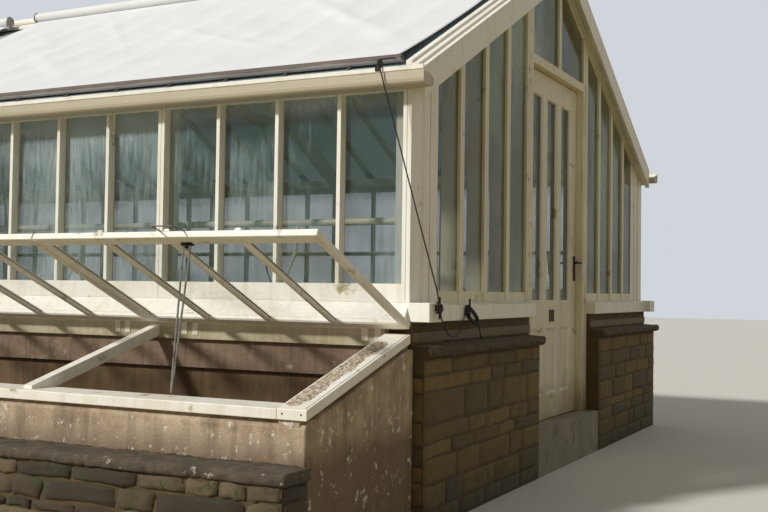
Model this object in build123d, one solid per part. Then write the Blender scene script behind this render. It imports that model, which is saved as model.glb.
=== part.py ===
from build123d import *
import os
from math import cos, radians, sin, tan

# A timber greenhouse on stone footwalls, with a cold frame along its front.
# Millimetres. X runs along the ridge and the door gable is at +X, Y runs across
# and the cold frame is at -Y, Z is up from the lowest ground that the walls meet.
# All shapes are first made about the middle of the house, then moved as one.

# Driving sizes of the house
bays = 6
bay = 1290.0
panes_per_bay = 4
end_margin = 20.0
half_span = 2030.0
door_foot = 250.0
sill_height = 685.0
gutter_drop = 422.0
glass_rise = 87.0
pitch = 27.5

# Masonry
wall = 230.0
wall_proud = 20.0
footwall_height = 460.0
footwall_step = 60.0
coping_height = 42.0
coping_nose = 34.0
sill_depth = 80.0
sill_apron = 30.0
side_sill_reach = 66.0
gable_sill_reach = 58.0
corner_block_reach = 100.0
corner_block_side = 15.0

# Timber sections
sash_depth = 50.0
sash_stile = 18.0
sash_bar = 19.0
sash_glass_depth = 45.0
sash_foot_rail = 78.0
sash_head_rail = 34.0
sash_gap = 2.0
sash_head_cover = 34.0
post_width = 62.0
post_depth = 55.0
frame_depth = 95.0
corner_post = 186.0
corner_turn = 111.0
corner_bead = 38.0
corner_step = 8.0
mullion = 50.0
gable_side_panes = 4
gable_pane = 257.5
gable_glass_depth = 16.0
far_gable_panes = 12
gable_foot_rail = 50.0
rake_rail = 90.0
door_post = 100.0
transom = 50.0
bar_width = 36.0
bar_depth = 40.0
tongue_width = 12.0
tongue_rise = 14.0
glass = 4.0
glass_overhang = 22.0
ridge_board = 36.0
ridge_drop = 150.0
truss_width = 60.0
truss_depth = 80.0
collar_above_gutter = 412.0
collar_depth = 70.0

# Verge, gutter and ridge trim
barge_depth = 116.0
barge_thickness = 28.0
barge_drop = 12.0
barge_packing = 32.0
verge_cap_rise = 34.0
verge_cap_step = 14.0
verge_cap_in = 30.0
gutter_reach = 105.0
gutter_rise = 76.0
gutter_overrun = 100.0
gutter_skin = 7.0
ridge_roll_radius = 30.0
ridge_cap_wing = 70.0
ridge_cap_thickness = 22.0
finial_radius = 46.0

# Door
door_opening = 960.0
door_height = 2000.0
door_gap = 5.0
leaf_recess = 44.0
leaf_thickness = 45.0
leaf_stile = 112.0
leaf_bar = 66.0
leaf_foot_rail = 147.0
leaf_lock_rail_foot = 530.0
leaf_lock_rail_head = 682.0
leaf_head_rail = 128.0
panel_thickness = 16.0
vent_width = 84.0
vent_height = 70.0
vent_thickness = 4.0
vent_above_foot = 566.0
lock_height = 154.0
lock_width = 34.0
lock_above_foot = 810.0
lock_thickness = 5.0
lock_from_edge = 34.0
lever_above_lock = 112.0
lever_radius = 5.5
lever_neck = 44.0
lever_arm = 104.0
hinge_pin_radius = 6.0
hinge_length = 96.0
flap_thickness = 3.0
flap_width = 36.0
hinge_heights = [210.0, 990.0, 1760.0]

# Cold frame
frame_reach = 895.0
frame_overrun = 50.0
curb_width = 165.0
curb_height = 327.0
curb_thickness = 38.0
lid_fall = 16.0
lid_rise = 24.5
lid_setback = 19.0
lid_back = 14.0
lid_strap = 34.0
lid_glass_depth = 8.0
lid_thickness = 40.0
lid_clearance = 6.0
lid_gap = 10.0
lid_stile = 30.0
lid_bar = 26.0
lid_rail = 62.0
lid_pin_radius = 5.0
lid_pin_sink = 1.5
lid_flap = 3.0
lid_hinge_length = 90.0
lid_hinge_inset = 190.0
bed_wall = 140.0
bed_wall_inset = 10.0
bed_end_wall = 110.0
bed_rafter = 46.0
bed_rafter_depth = 52.0
bed_rafter_toe = 120.0
hinge_rail_depth = 72.0
hinge_rail_thickness = 48.0
back_board_depth = 130.0
back_board_thickness = 25.0
ledge_height = 135.0
ledge_reach = 165.0
ledge_flag = 40.0
ledge_flag_nose = 16.0
stay_radius = 4.0
stay_spread = 32.0
stay_lean = 122.0
stay_offset = -74.0
stay_pin_out = 780.0
stay_pin_drop = 50.0
stay_eye_wall = 4.0
stay_eye_width = 14.0
running_clearance = 0.05
knuckle_clearance = 0.3
stirrup_width = 150.0
stirrup_rise = 34.0
stay_foot_gap = 6.0

# Roller blinds and ventilator gear
blind_length = 3980.0
blind_between = 290.0
blind_margin = 70.0
blind_roller_radius = 32.0
blind_roller_from_ridge = 110.0
blind_roller_rise = 90.0
blind_cloth = 3.0
blind_clearance = 0.3
blind_bar_radius = 17.0
blind_bar_from_eaves = 46.0
bracket_thickness = 8.0
gear_radius = 16.0
gear_from_wall = 200.0
gear_height = 1040.0
gear_arm = 150.0
cord_radius = 3.0
pulley_from_gable = 100.0
pulley_radius = 16.0
pulley_reach = 18.0
pulley_rise = 30.0
cleat_horn = 84.0
cleat_reach = 18.0

# Levels and lengths worked out from the driving sizes
gutter_height = door_height - gutter_drop
half_length = bays * bay / 2 + end_margin
slope = tan(radians(pitch))
plinth_top = door_foot + sill_height - sill_depth
sill_top = door_foot + sill_height
gutter_foot = door_foot + gutter_height
sash_top = gutter_foot + sash_head_cover
glass_eaves = gutter_foot + glass_rise
sash_inner = half_span - sash_depth
post_inner = sash_inner - post_depth
corner_inner = post_inner - corner_post
plinth_face = half_span + wall_proud
gable_plinth_face = half_length + wall_proud
opening_half = door_opening / 2
door_head = door_foot + door_height


def block(x0, x1, y0, y1, z0, z1):
    """Box between two corners."""
    middle = ((x0 + x1) / 2, (y0 + y1) / 2, (z0 + z1) / 2)
    return Pos(*middle) * Box(abs(x1 - x0), abs(y1 - y0), abs(z1 - z0))


def along_x(points, x0, x1):
    """Prism with a (y, z) outline, from x0 to x1."""
    outline = make_face(Polyline([(x0, y, z) for y, z in points], close=True))
    return extrude(outline, amount=x1 - x0, dir=(1, 0, 0))


def along_y(points, y0, y1):
    """Prism with an (x, z) outline, from y0 to y1."""
    outline = make_face(Polyline([(x, y0, z) for x, z in points], close=True))
    return extrude(outline, amount=y1 - y0, dir=(0, 1, 0))


def other_side(shape):
    """The same shape on the back of the house."""
    return mirror(shape, about=Plane.XZ)


def other_end(shape):
    """The same shape at the far gable."""
    return mirror(shape, about=Plane.YZ)


def both_sides(shapes):
    """Shapes of the front together with their copies at the back."""
    return shapes + [other_side(shape) for shape in shapes]


def roof_line(y):
    """Height of the glass's underside at y, on either slope."""
    return glass_eaves + (half_span - abs(y)) * slope


def rake(y0, y1, low, high):
    """Outline between two plumb cuts, low and high above the glass's underside."""
    return [(y0, roof_line(y0) + low), (y1, roof_line(y1) + low),
            (y1, roof_line(y1) + high), (y0, roof_line(y0) + high)]


def under_rake(y0, y1, foot, drop):
    """Outline of an upright whose head is cut to the roof's slope."""
    return [(y0, foot), (y1, foot), (y1, roof_line(y1) - drop), (y0, roof_line(y0) - drop)]


# Footwalls: a thick lower wall, a coping with a round nose, and a thinner upper wall.
# One section runs round three sides with mitred corners and is then parted into walls.
coping_top = door_foot + footwall_height + coping_height
step_out = footwall_step + coping_nose
nose_radius = coping_height / 2


def stepped_ring():
    """The stepped section swept along the wall's face, from the door gable round to the far one."""
    corners = [(gable_plinth_face, -plinth_face, 0), (gable_plinth_face, plinth_face, 0),
               (-gable_plinth_face, plinth_face, 0), (-gable_plinth_face, -plinth_face, 0)]
    start = Plane(origin=corners[0], x_dir=(1, 0, 0), z_dir=(0, -1, 0))
    coping_foot = coping_top - coping_height
    with BuildSketch(start) as section:
        with BuildLine():
            Polyline((-wall, 0), (footwall_step, 0), (footwall_step, coping_foot),
                     (step_out - nose_radius, coping_foot))
            ThreePointArc((step_out - nose_radius, coping_foot), (step_out, coping_foot + nose_radius),
                          (step_out - nose_radius, coping_top))
            Polyline((step_out - nose_radius, coping_top), (0, coping_top + 8),
                     (0, plinth_top), (-wall, plinth_top), (-wall, 0))
        make_face()
    return sweep(section.sketch, path=Wire(Polyline(corners)), transition=Transition.RIGHT)


ring = stepped_ring()
inner_x = gable_plinth_face - wall
inner_y = plinth_face - wall
far_out = half_length + half_span
masonry_end = opening_half + door_post
gable_left = ring & block(inner_x, far_out, -far_out, -masonry_end, 0, plinth_top)
gable_right = ring & block(inner_x, far_out, masonry_end, inner_y, 0, plinth_top)
back_plinth = ring & block(-far_out, far_out, inner_y, far_out, 0, plinth_top)
far_gable = ring & block(-far_out, -inner_x, -far_out, inner_y, 0, plinth_top)
front_plinth = block(-inner_x, inner_x, -plinth_face, -inner_y, 0, plinth_top)
threshold = block(half_length - frame_depth - 60, half_length + wall_proud + footwall_step,
                  -masonry_end, masonry_end, 0, door_foot)

# Sills
sill_inner = post_inner - 20
side_sill_nose = half_span + side_sill_reach
side_sill_outline = [(-sill_inner, sill_top), (-half_span, sill_top), (-side_sill_nose, plinth_top - 12),
                     (-side_sill_nose, plinth_top - sill_apron), (-plinth_face, plinth_top - sill_apron),
                     (-plinth_face, plinth_top), (-sill_inner, plinth_top)]
side_sill = along_x(side_sill_outline, -half_length, half_length)
gable_sill_inner = half_length - frame_depth - 25
gable_sill_nose = half_length + gable_sill_reach
gable_sill_outline = [(gable_sill_inner, plinth_top), (gable_sill_nose, plinth_top),
                      (gable_sill_nose, sill_top - 10), (half_length, sill_top), (gable_sill_inner, sill_top)]
corner_face = half_length + corner_block_reach
corner_block = block(half_length, corner_face, -half_span - corner_block_side, -sill_inner,
                     plinth_top, sill_top)
gable_sill_left = along_y(gable_sill_outline, -sill_inner, -masonry_end) + corner_block
gable_sill_right = other_side(gable_sill_left)
far_sill = along_y(gable_sill_outline, -sill_inner, sill_inner) + corner_block + other_side(corner_block)
far_sill = other_end(far_sill)

# Side walls: posts behind the meeting stiles, top-hung sashes between them, and the eaves plate
bay_lines = [-half_length + end_margin + bay * number for number in range(bays + 1)]


def side_posts():
    """Posts behind the meeting stiles, and the wider ones at the corners with their facing strips."""
    posts = []
    for line in bay_lines[1:-1]:
        posts.append(block(line - post_width / 2, line + post_width / 2,
                           -sash_inner, -post_inner, sill_top, sash_top))
    for sign in (-1, 1):
        outer = sign * half_length
        strip_edge = outer - sign * (end_margin - sash_gap / 2)
        post = block(outer - sign * frame_depth, outer, -sash_inner, -post_inner, sill_top, sash_top)
        posts.append(post + block(strip_edge, outer, -half_span, -sash_inner, sill_top, sash_top))
    return posts


def sash(x0, x1):
    """One sash as a frame with upright bars, and its panes."""
    body = block(x0, x1, -half_span, -sash_inner, sill_top, sash_top)
    pane_area = x1 - x0 - 2 * sash_stile - (panes_per_bay - 1) * sash_bar
    pane_width = pane_area / panes_per_bay
    panes = []
    for number in range(panes_per_bay):
        left = x0 + sash_stile + number * (pane_width + sash_bar)
        foot = sill_top + sash_foot_rail
        head = sash_top - sash_head_rail
        body -= block(left, left + pane_width, -half_span - 1, -sash_inner + 1, foot, head)
        middle = -half_span + sash_glass_depth
        panes.append(block(left, left + pane_width, middle - glass / 2, middle + glass / 2, foot, head))
    return body, panes


sashes = []
side_panes = []
for number in range(bays):
    frame, panes = sash(bay_lines[number] + sash_gap / 2, bay_lines[number + 1] - sash_gap / 2)
    sashes.append(frame)
    side_panes += panes

plate_outline = [(-half_span, sash_top), (-post_inner, sash_top),
                 (-post_inner, roof_line(post_inner) - bar_depth),
                 (-half_span, roof_line(half_span) - bar_depth)]
eaves_plate = along_x(plate_outline, -half_length, half_length)


def gutter_point(out, up):
    """Point of the gutter's section, as parts of its reach and its rise."""
    return (-half_span - gutter_reach * out, gutter_foot + gutter_rise * up)


def gutter_run():
    """Ogee gutter: a solid of its outer section with a trough cut between two end plates."""
    rim_width = gutter_skin * 1.6 / gutter_reach
    with BuildSketch(Plane.YZ) as outer:
        with BuildLine():
            Polyline(gutter_point(0, 0.5), gutter_point(0, 0), gutter_point(0.60, 0))
            ThreePointArc(gutter_point(0.60, 0), gutter_point(0.80, 0.14), gutter_point(0.86, 0.42))
            ThreePointArc(gutter_point(0.86, 0.42), gutter_point(0.90, 0.62), gutter_point(1, 0.78))
            Polyline(gutter_point(1, 0.78), gutter_point(1, 1), gutter_point(1 - rim_width, 1),
                     gutter_point(1 - rim_width, 0.84), gutter_point(0, 0.5))
        make_face()
    skin_x = gutter_skin / gutter_reach
    skin_z = gutter_skin / gutter_rise
    with BuildSketch(Plane.YZ) as trough:
        with BuildLine():
            Polyline(gutter_point(skin_x, 1), gutter_point(skin_x, skin_z), gutter_point(0.58, skin_z),
                     gutter_point(0.78, 0.42), gutter_point(1 - rim_width, 0.84),
                     gutter_point(1 - rim_width, 1), gutter_point(skin_x, 1))
        make_face()
    reach = half_length + gutter_overrun
    length = 2 * (reach - gutter_skin)
    return (Pos(-reach, 0, 0) * extrude(outer.sketch, amount=2 * reach)
            - Pos(gutter_skin - reach, 0, 0) * extrude(trough.sketch, amount=length))


gutter = gutter_run()

# Gable frames
gable_out = half_length
gable_in = half_length - frame_depth
rake_drop = bar_depth + rake_rail


def upright(y0, y1, foot, drop=rake_drop):
    """A gable upright between the sill and the rake rail."""
    return along_x(under_rake(y0, y1, foot, drop), gable_in, gable_out)


def glass_sheet(y0, y1, foot):
    """A pane of the gable, its head cut to the rake."""
    middle = gable_out - gable_glass_depth
    return along_x(under_rake(y0, y1, foot, rake_drop), middle - glass / 2, middle + glass / 2)


def glaze(y0, y1, uprights):
    """Panes between y0, the uprights and y1, the one under the ridge in two halves."""
    edges = [y0] + [edge for pair in uprights for edge in pair] + [y1]
    foot = sill_top + gable_foot_rail
    sheets = []
    for left, right in zip(edges[::2], edges[1::2]):
        if left < 0 < right:
            sheets += [glass_sheet(left, 0, foot), glass_sheet(0, right, foot)]
        else:
            sheets.append(glass_sheet(left, right, foot))
    return sheets


def rake_rails():
    """The two rails under the verge, meeting at the ridge."""
    left = along_x(rake(-post_inner, 0, -rake_drop, -bar_depth), gable_in, gable_out)
    return left + other_side(left)


def split_upright(y0, y1, foot):
    """An upright that may stand under the ridge, with its head cut both ways."""
    if y0 < 0 < y1:
        return upright(y0, 0, foot) + upright(0, y1, foot)
    return upright(y0, y1, foot)


turned_edge = -post_inner + corner_turn
corner_upright = upright(-post_inner, turned_edge, sill_top)
corner_upright = fillet(corner_upright.edges().filter_by(Axis.Z).group_by(Axis.X)[-1], corner_bead)
corner_upright += along_x(under_rake(turned_edge, -corner_inner, sill_top, rake_drop),
                          gable_in, gable_out - corner_step)
left_uprights = []
for number in range(gable_side_panes - 1, 0, -1):
    right_edge = -masonry_end - number * (gable_pane + mullion) + mullion
    left_uprights.append((right_edge - mullion, right_edge))
left_sheets = glaze(-corner_inner, -masonry_end, left_uprights)
left_frame = block(gable_in + 20, gable_out - 6, -corner_inner, -masonry_end,
                   sill_top, sill_top + gable_foot_rail)
for y0, y1 in left_uprights:
    left_frame += upright(y0, y1, sill_top)
door_gable_frame = rake_rails() + left_frame + other_side(left_frame)

centre_mullion = split_upright(-mullion / 2, mullion / 2, door_head + transom)
door_frame = upright(-masonry_end, -opening_half, door_foot) + upright(opening_half, masonry_end, door_foot)
door_frame += block(gable_in, gable_out, -opening_half, opening_half, door_head, door_head + transom)
door_frame += centre_mullion
fanlight = [glass_sheet(-opening_half, -mullion / 2, door_head + transom)]
fanlight.append(other_side(fanlight[0]))
door_gable_glass = left_sheets + [other_side(sheet) for sheet in left_sheets] + fanlight

far_pane = (2 * corner_inner - (far_gable_panes - 1) * mullion) / far_gable_panes
far_uprights = []
for number in range(1, far_gable_panes):
    right_edge = -corner_inner + number * (far_pane + mullion)
    far_uprights.append((right_edge - mullion, right_edge))
far_sheets = glaze(-corner_inner, corner_inner, far_uprights)
far_frame = rake_rails() + block(gable_in + 20, gable_out - 6, -corner_inner, corner_inner,
                                 sill_top, sill_top + gable_foot_rail)
for y0, y1 in far_uprights:
    far_frame += split_upright(y0, y1, sill_top)
far_gable_frame = other_end(far_frame)
far_gable_glass = [other_end(sheet) for sheet in far_sheets]
corner_posts = both_sides([corner_upright, other_end(corner_upright)])

# Roof: bars with a tongue between the panes, glass on their shoulders, trusses under them
pane_pitch = 2 * half_length / round(2 * half_length / (bay / panes_per_bay))
bar_lines = [-half_length + bar_width / 2]
bar_count = round(2 * half_length / (bay / panes_per_bay))
bar_lines += [-half_length + pane_pitch * number for number in range(1, bar_count)]
bar_lines += [half_length - bar_width / 2]


def roof_bar(x):
    """One glazing bar, from the eaves to the ridge board."""
    body = along_x(rake(-half_span, -ridge_board / 2, -bar_depth, 0), x - bar_width / 2, x + bar_width / 2)
    tongue = along_x(rake(-half_span, -ridge_board / 2, 0, tongue_rise),
                     x - tongue_width / 2, x + tongue_width / 2)
    return body + tongue


roof_bars = [roof_bar(x) for x in bar_lines]
roof_panes = []
for left, right in zip(bar_lines[:-1], bar_lines[1:]):
    roof_panes.append(along_x(rake(-half_span - glass_overhang, -ridge_board / 2, 0, glass),
                              left + tongue_width / 2, right - tongue_width / 2))

half_board = ridge_board / 2
ridge_foot = roof_line(0) - ridge_drop


def ridge_section(foot_middle, foot_side):
    """Outline of the ridge board, its top bevelled to both slopes."""
    top_side = roof_line(half_board) + tongue_rise
    return [(-half_board, foot_side), (0, foot_middle), (half_board, foot_side),
            (half_board, top_side), (0, roof_line(0) + tongue_rise), (-half_board, top_side)]


ridge = along_x(ridge_section(ridge_foot, ridge_foot), -gable_in, gable_in)
over_gable = along_x(ridge_section(roof_line(0) - bar_depth, roof_line(half_board) - bar_depth),
                     gable_in, half_length)
ridge = ridge + over_gable + other_end(over_gable)
cap_end = half_length - verge_cap_in
wing = along_x(rake(-ridge_cap_wing, 0, tongue_rise, tongue_rise + ridge_cap_thickness), -cap_end, cap_end)
roll_z = roof_line(0) + tongue_rise + ridge_roll_radius
ridge_roll = Pos(0, 0, roll_z) * Rot(0, 90, 0) * Cylinder(ridge_roll_radius, 2 * cap_end)
ridge_roll = ridge_roll & block(-cap_end, cap_end, -ridge_roll_radius, ridge_roll_radius,
                                roll_z - ridge_roll_radius / 2, roll_z + ridge_roll_radius)
ridge_cap = wing + other_side(wing) + ridge_roll


def truss(x):
    """Principal rafters on the posts and a collar across them."""
    x0 = x - truss_width / 2
    x1 = x + truss_width / 2
    low = -bar_depth - truss_depth
    rafter = along_x(rake(-post_inner, -ridge_board / 2, low, -bar_depth), x0, x1)
    collar_foot = gutter_foot + collar_above_gutter
    reach = half_span - (collar_foot + collar_depth + bar_depth - glass_eaves) / slope
    collar = block(x0 + 10, x1 - 10, -reach, reach, collar_foot, collar_foot + collar_depth)
    return rafter + other_side(rafter) + collar


trusses = [truss(line) for line in bay_lines[1:-1]]

# Verges
barge_face = half_length + barge_packing + barge_thickness


def verge(x0, x1, low, high, foot):
    """A board up both slopes of the door gable."""
    board = along_x(rake(-foot, 0, low, high), x0, x1)
    return board + other_side(board)


barge_low = -barge_drop - barge_depth
bargeboards = verge(half_length + barge_packing, barge_face, barge_low, -barge_drop, half_span)
packing = verge(half_length, half_length + barge_packing, barge_low + 20, -barge_drop, half_span)
cap_high = verge(half_length - verge_cap_in, half_length, tongue_rise, verge_cap_rise, half_span)
cap_middle = verge(half_length, half_length + barge_packing, -barge_drop,
                   verge_cap_rise - verge_cap_step, half_span)
cap_low = verge(half_length + barge_packing, barge_face, -barge_drop,
                verge_cap_rise - 2 * verge_cap_step, half_span)
verge_caps = cap_high + cap_middle + cap_low


def finial():
    """Turned post, collar and ball over the apex."""
    r = finial_radius
    foot = roof_line(0) + tongue_rise + 1
    with BuildSketch(Plane.XZ) as outline:
        with BuildLine():
            Polyline((0, 0), (r * 0.72, 0), (r * 0.72, r * 0.9), (r * 0.95, r * 1.0), (r * 0.95, r * 1.25),
                     (r * 0.42, r * 1.5), (r * 0.36, r * 2.2))
            ThreePointArc((r * 0.36, r * 2.2), (r * 0.98, r * 3.0), (r * 0.2, r * 3.9))
            Polyline((r * 0.2, r * 3.9), (0, r * 4.1), (0, 0))
        make_face()
    turned = revolve(outline.sketch, axis=Axis.Z)
    x = half_length + barge_packing / 2
    return Pos(x, 0, foot) * turned


door_finial = finial() - verge_caps


# Door leaf, hung on its left edge from outside and opening inwards
leaf_out = half_length - leaf_recess
leaf_in = leaf_out - leaf_thickness
leaf_left = -opening_half + door_gap
leaf_right = opening_half - door_gap
leaf_foot = door_foot + door_gap
leaf_top = door_head - door_gap
leaf_panes = 3


def leaf_openings():
    """Left and right edges of the leaf's three lights."""
    light = (leaf_right - leaf_left - 2 * leaf_stile - (leaf_panes - 1) * leaf_bar) / leaf_panes
    edges = []
    for number in range(leaf_panes):
        left = leaf_left + leaf_stile + number * (light + leaf_bar)
        edges.append((left, left + light))
    return edges


door_leaf = block(leaf_in, leaf_out, leaf_left, leaf_right, leaf_foot, leaf_top)
door_panes = []
light_foot = door_foot + leaf_lock_rail_head
light_head = leaf_top - leaf_head_rail
panel_foot = door_foot + leaf_foot_rail
panel_head = door_foot + leaf_lock_rail_foot
for left, right in leaf_openings():
    door_leaf -= block(leaf_in - 1, leaf_out + 1, left, right, light_foot, light_head)
    pocket = (leaf_thickness - panel_thickness) / 2
    door_leaf -= block(leaf_out - pocket, leaf_out + 1, left, right, panel_foot, panel_head)
    door_leaf -= block(leaf_in - 1, leaf_in + pocket, left, right, panel_foot, panel_head)
    middle = (leaf_in + leaf_out) / 2
    door_panes.append(block(middle - glass / 2, middle + glass / 2, left, right, light_foot, light_head))

vent_foot = door_foot + vent_above_foot
door_vent = block(leaf_out, leaf_out + vent_thickness, -vent_width / 2, vent_width / 2,
                  vent_foot, vent_foot + vent_height)
lock_y = leaf_right - lock_from_edge
lock_foot = door_foot + lock_above_foot
lever_z = lock_foot + lever_above_lock


def lock_plate(x0, x1):
    """Backplate with a hole for the lever's spindle."""
    plate = block(x0, x1, lock_y - lock_width / 2, lock_y + lock_width / 2,
                  lock_foot, lock_foot + lock_height)
    hole = Pos(x0, lock_y, lever_z) * Rot(0, 90, 0) * Cylinder(lever_radius + 0.1, 60)
    return plate - hole


door_lock = lock_plate(leaf_out, leaf_out + lock_thickness)
inner_lock = lock_plate(leaf_in - lock_thickness, leaf_in)
spindle_hole = Pos(leaf_in, lock_y, lever_z) * Rot(0, 90, 0) * Cylinder(
    lever_radius + 0.1, 2 * leaf_thickness + 20)
door_leaf -= spindle_hole


def lever():
    """Spindle through the leaf with a bent arm on both faces."""
    x_out = leaf_out + lock_thickness + lever_neck
    x_in = leaf_in - lock_thickness - lever_neck
    spindle = Pos((x_out + x_in) / 2, lock_y, lever_z) * Rot(0, 90, 0) * Cylinder(lever_radius, x_out - x_in)
    handle = spindle
    for x in (x_out, x_in):
        arm = Rot(90, 0, 0) * Cylinder(lever_radius * 1.15, lever_arm)
        handle += Pos(x, lock_y - lever_arm / 2, lever_z) * arm
        handle += Pos(x, lock_y, lever_z) * Sphere(lever_radius * 1.15)
        handle += Pos(x, lock_y - lever_arm, lever_z) * Sphere(lever_radius * 1.6)
    return handle


door_lever = lever()

# Butt hinges: the frame carries the outer knuckles and the pin, the leaf the middle one
hinge_x = gable_in - hinge_pin_radius - 1
hinge_y = -opening_half + door_gap / 2
leaf_hinges = []
frame_hinges = []
for height in hinge_heights:
    z = door_foot + height
    third = hinge_length / 3
    middle_knuckle = Pos(hinge_x, hinge_y, z) * Cylinder(hinge_pin_radius, third - 2 * knuckle_clearance)
    leaf_flap = block(leaf_in - flap_thickness, leaf_in, leaf_left, leaf_left + flap_width,
                      z - third / 2 + knuckle_clearance, z + third / 2 - knuckle_clearance)
    leaf_link = block(hinge_x, leaf_in, hinge_y, leaf_left + 2, z - third / 2 + knuckle_clearance,
                      z + third / 2 - knuckle_clearance)
    leaf_hinges.append(middle_knuckle + leaf_flap + leaf_link)
    for sign in (-1, 1):
        centre = z + sign * third
        knuckle = Pos(hinge_x, hinge_y, centre) * Cylinder(hinge_pin_radius, third)
        flap = block(gable_in - flap_thickness, gable_in, -opening_half - flap_width, -opening_half,
                     centre - third / 2, centre + third / 2)
        link = block(hinge_x, gable_in, -opening_half - 4, hinge_y, centre - third / 2, centre + third / 2)
        frame_hinges.append(knuckle + flap + link)

# Cold frame: walls, a curb in the lids' plane, rafters, and lids on the hinge rail
bed_front = plinth_face + frame_reach - wall_proud
bed_end = half_length + frame_overrun
fall = tan(radians(lid_fall))
curb_outer_top = door_foot + curb_height


def bed_line(y):
    """Height of the curb's sloping top at y (negative, in front of the house)."""
    return curb_outer_top + (y + bed_front) * fall


rail_face = plinth_face + hinge_rail_thickness
curb_inner = -bed_front + curb_width
curb_foot = curb_outer_top - curb_thickness
end_curb_width = bed_end_wall + bed_wall_inset
front_curb = block(-bed_end, bed_end, -bed_front, curb_inner, curb_foot, curb_outer_top)
end_curb_outline = [(-bed_front, curb_outer_top), (curb_inner, curb_outer_top - curb_thickness),
                    (-rail_face, bed_line(-rail_face) - curb_thickness), (-rail_face, bed_line(-rail_face))]
end_curb = along_x(end_curb_outline, bed_end - end_curb_width, bed_end)
curb = front_curb + end_curb + other_end(end_curb)
bed_wall_face = bed_front - bed_wall_inset
bed_wall_inner = -bed_wall_face + bed_wall
front_bed_wall = block(-bed_end + bed_wall_inset, bed_end - bed_wall_inset, -bed_wall_face, bed_wall_inner,
                       0, curb_foot)
end_outline = [(bed_wall_inner, 0), (-plinth_face, 0), (-plinth_face, bed_line(-rail_face) - curb_thickness),
               (-rail_face, bed_line(-rail_face) - curb_thickness), (curb_inner, curb_foot),
               (bed_wall_inner, curb_foot)]
end_bed_wall = along_x(end_outline, bed_end - end_curb_width, bed_end - bed_wall_inset)
bed_walls = front_bed_wall + end_bed_wall + other_end(end_bed_wall)
ledge_top = door_foot + ledge_height
ledge_front = bed_front + ledge_reach
ledge = block(-bed_end, bed_end, -ledge_front + ledge_flag_nose, -bed_wall_face, 0, ledge_top - ledge_flag)
ledge_flags = block(-bed_end - ledge_flag_nose, bed_end + ledge_flag_nose, -ledge_front, -bed_wall_face,
                    ledge_top - ledge_flag, ledge_top)

rail_top = plinth_top - sill_apron
rail_foot = rail_top - hinge_rail_depth
hinge_rail = block(-half_length + 80, half_length - 80, -rail_face, -plinth_face, rail_foot, rail_top)
back_board = block(-half_length + 80, half_length - 80, -plinth_face - back_board_thickness, -plinth_face,
                   rail_foot - back_board_depth, rail_foot)

lid_count = bays
lid_pitch = 2 * bed_end / lid_count
lid_pin_y = -rail_face - lid_flap - lid_pin_radius + lid_pin_sink
lid_pin_z = bed_line(lid_pin_y) + (lid_thickness + lid_clearance) / cos(radians(lid_fall))
lid_length = (bed_front - lid_setback + lid_pin_y) / cos(radians(lid_fall))
rafter_lines = [bed_end - lid_pitch * number for number in range(1, lid_count)]
rafter_toe = curb_inner - bed_rafter_toe
rafter_outline = [(rafter_toe, curb_outer_top), (curb_inner, curb_outer_top),
                  (curb_inner, bed_line(curb_inner) - bed_rafter_depth),
                  (-rail_face, bed_line(-rail_face) - bed_rafter_depth),
                  (-rail_face, bed_line(-rail_face)), (rafter_toe, bed_line(rafter_toe))]
bed_rafters = [along_x(rafter_outline, x - bed_rafter / 2, x + bed_rafter / 2) for x in rafter_lines]


def lid_frame(angle):
    """Plane at the lid's hinge: X along the house, Y out along the lid, Z up through it."""
    upward = (0, sin(radians(angle)), cos(radians(angle)))
    return Plane(origin=(0, lid_pin_y, lid_pin_z), x_dir=(-1, 0, 0), z_dir=upward)


def lid_edges(number):
    """Left and right edges of a lid in its own plane, whose X runs from the door gable."""
    right = bed_end - lid_pitch * number - (lid_gap / 2 if number else 0)
    left = bed_end - lid_pitch * (number + 1) + (lid_gap / 2 if number < lid_count - 1 else 0)
    return -right, -left


def lid_hinge_centres(number):
    """Middles of a lid's two hinges, in its own plane."""
    x0, x1 = lid_edges(number)
    return [x0 + lid_hinge_inset, x1 - lid_hinge_inset]


def lid_eye(centre):
    """Lug under the front rail with the eye in which the stay's head turns."""
    radius = stay_radius + stay_eye_wall
    lug = block(centre - stay_eye_width / 2, centre + stay_eye_width / 2, stay_pin_out - radius,
                stay_pin_out + radius, -stay_pin_drop, -lid_thickness)
    barrel = Pos(centre, stay_pin_out, -stay_pin_drop) * Rot(0, 90, 0) * Cylinder(radius, stay_eye_width)
    hole = Pos(centre, stay_pin_out, -stay_pin_drop) * Rot(0, 90, 0) * Cylinder(
        stay_radius + running_clearance, stay_eye_width + 2)
    return lug + barrel - hole


def stirrup(middle):
    """Six-sided rod loop on top of the front rail, by which the lid is lifted."""
    out = lid_length - lid_rail / 2
    half = stirrup_width / 2
    points = [(middle - half, out, stirrup_rise * 0.55), (middle - half * 0.45, out + 6, stirrup_rise),
              (middle + half * 0.62, out + 4, stirrup_rise), (middle + half, out, stirrup_rise * 0.45),
              (middle + half * 0.72, out, stay_radius * 0.4), (middle - half * 0.5, out, stay_radius * 0.4)]
    return rod(points + [points[0], points[1]], stay_radius * 0.75)


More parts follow.
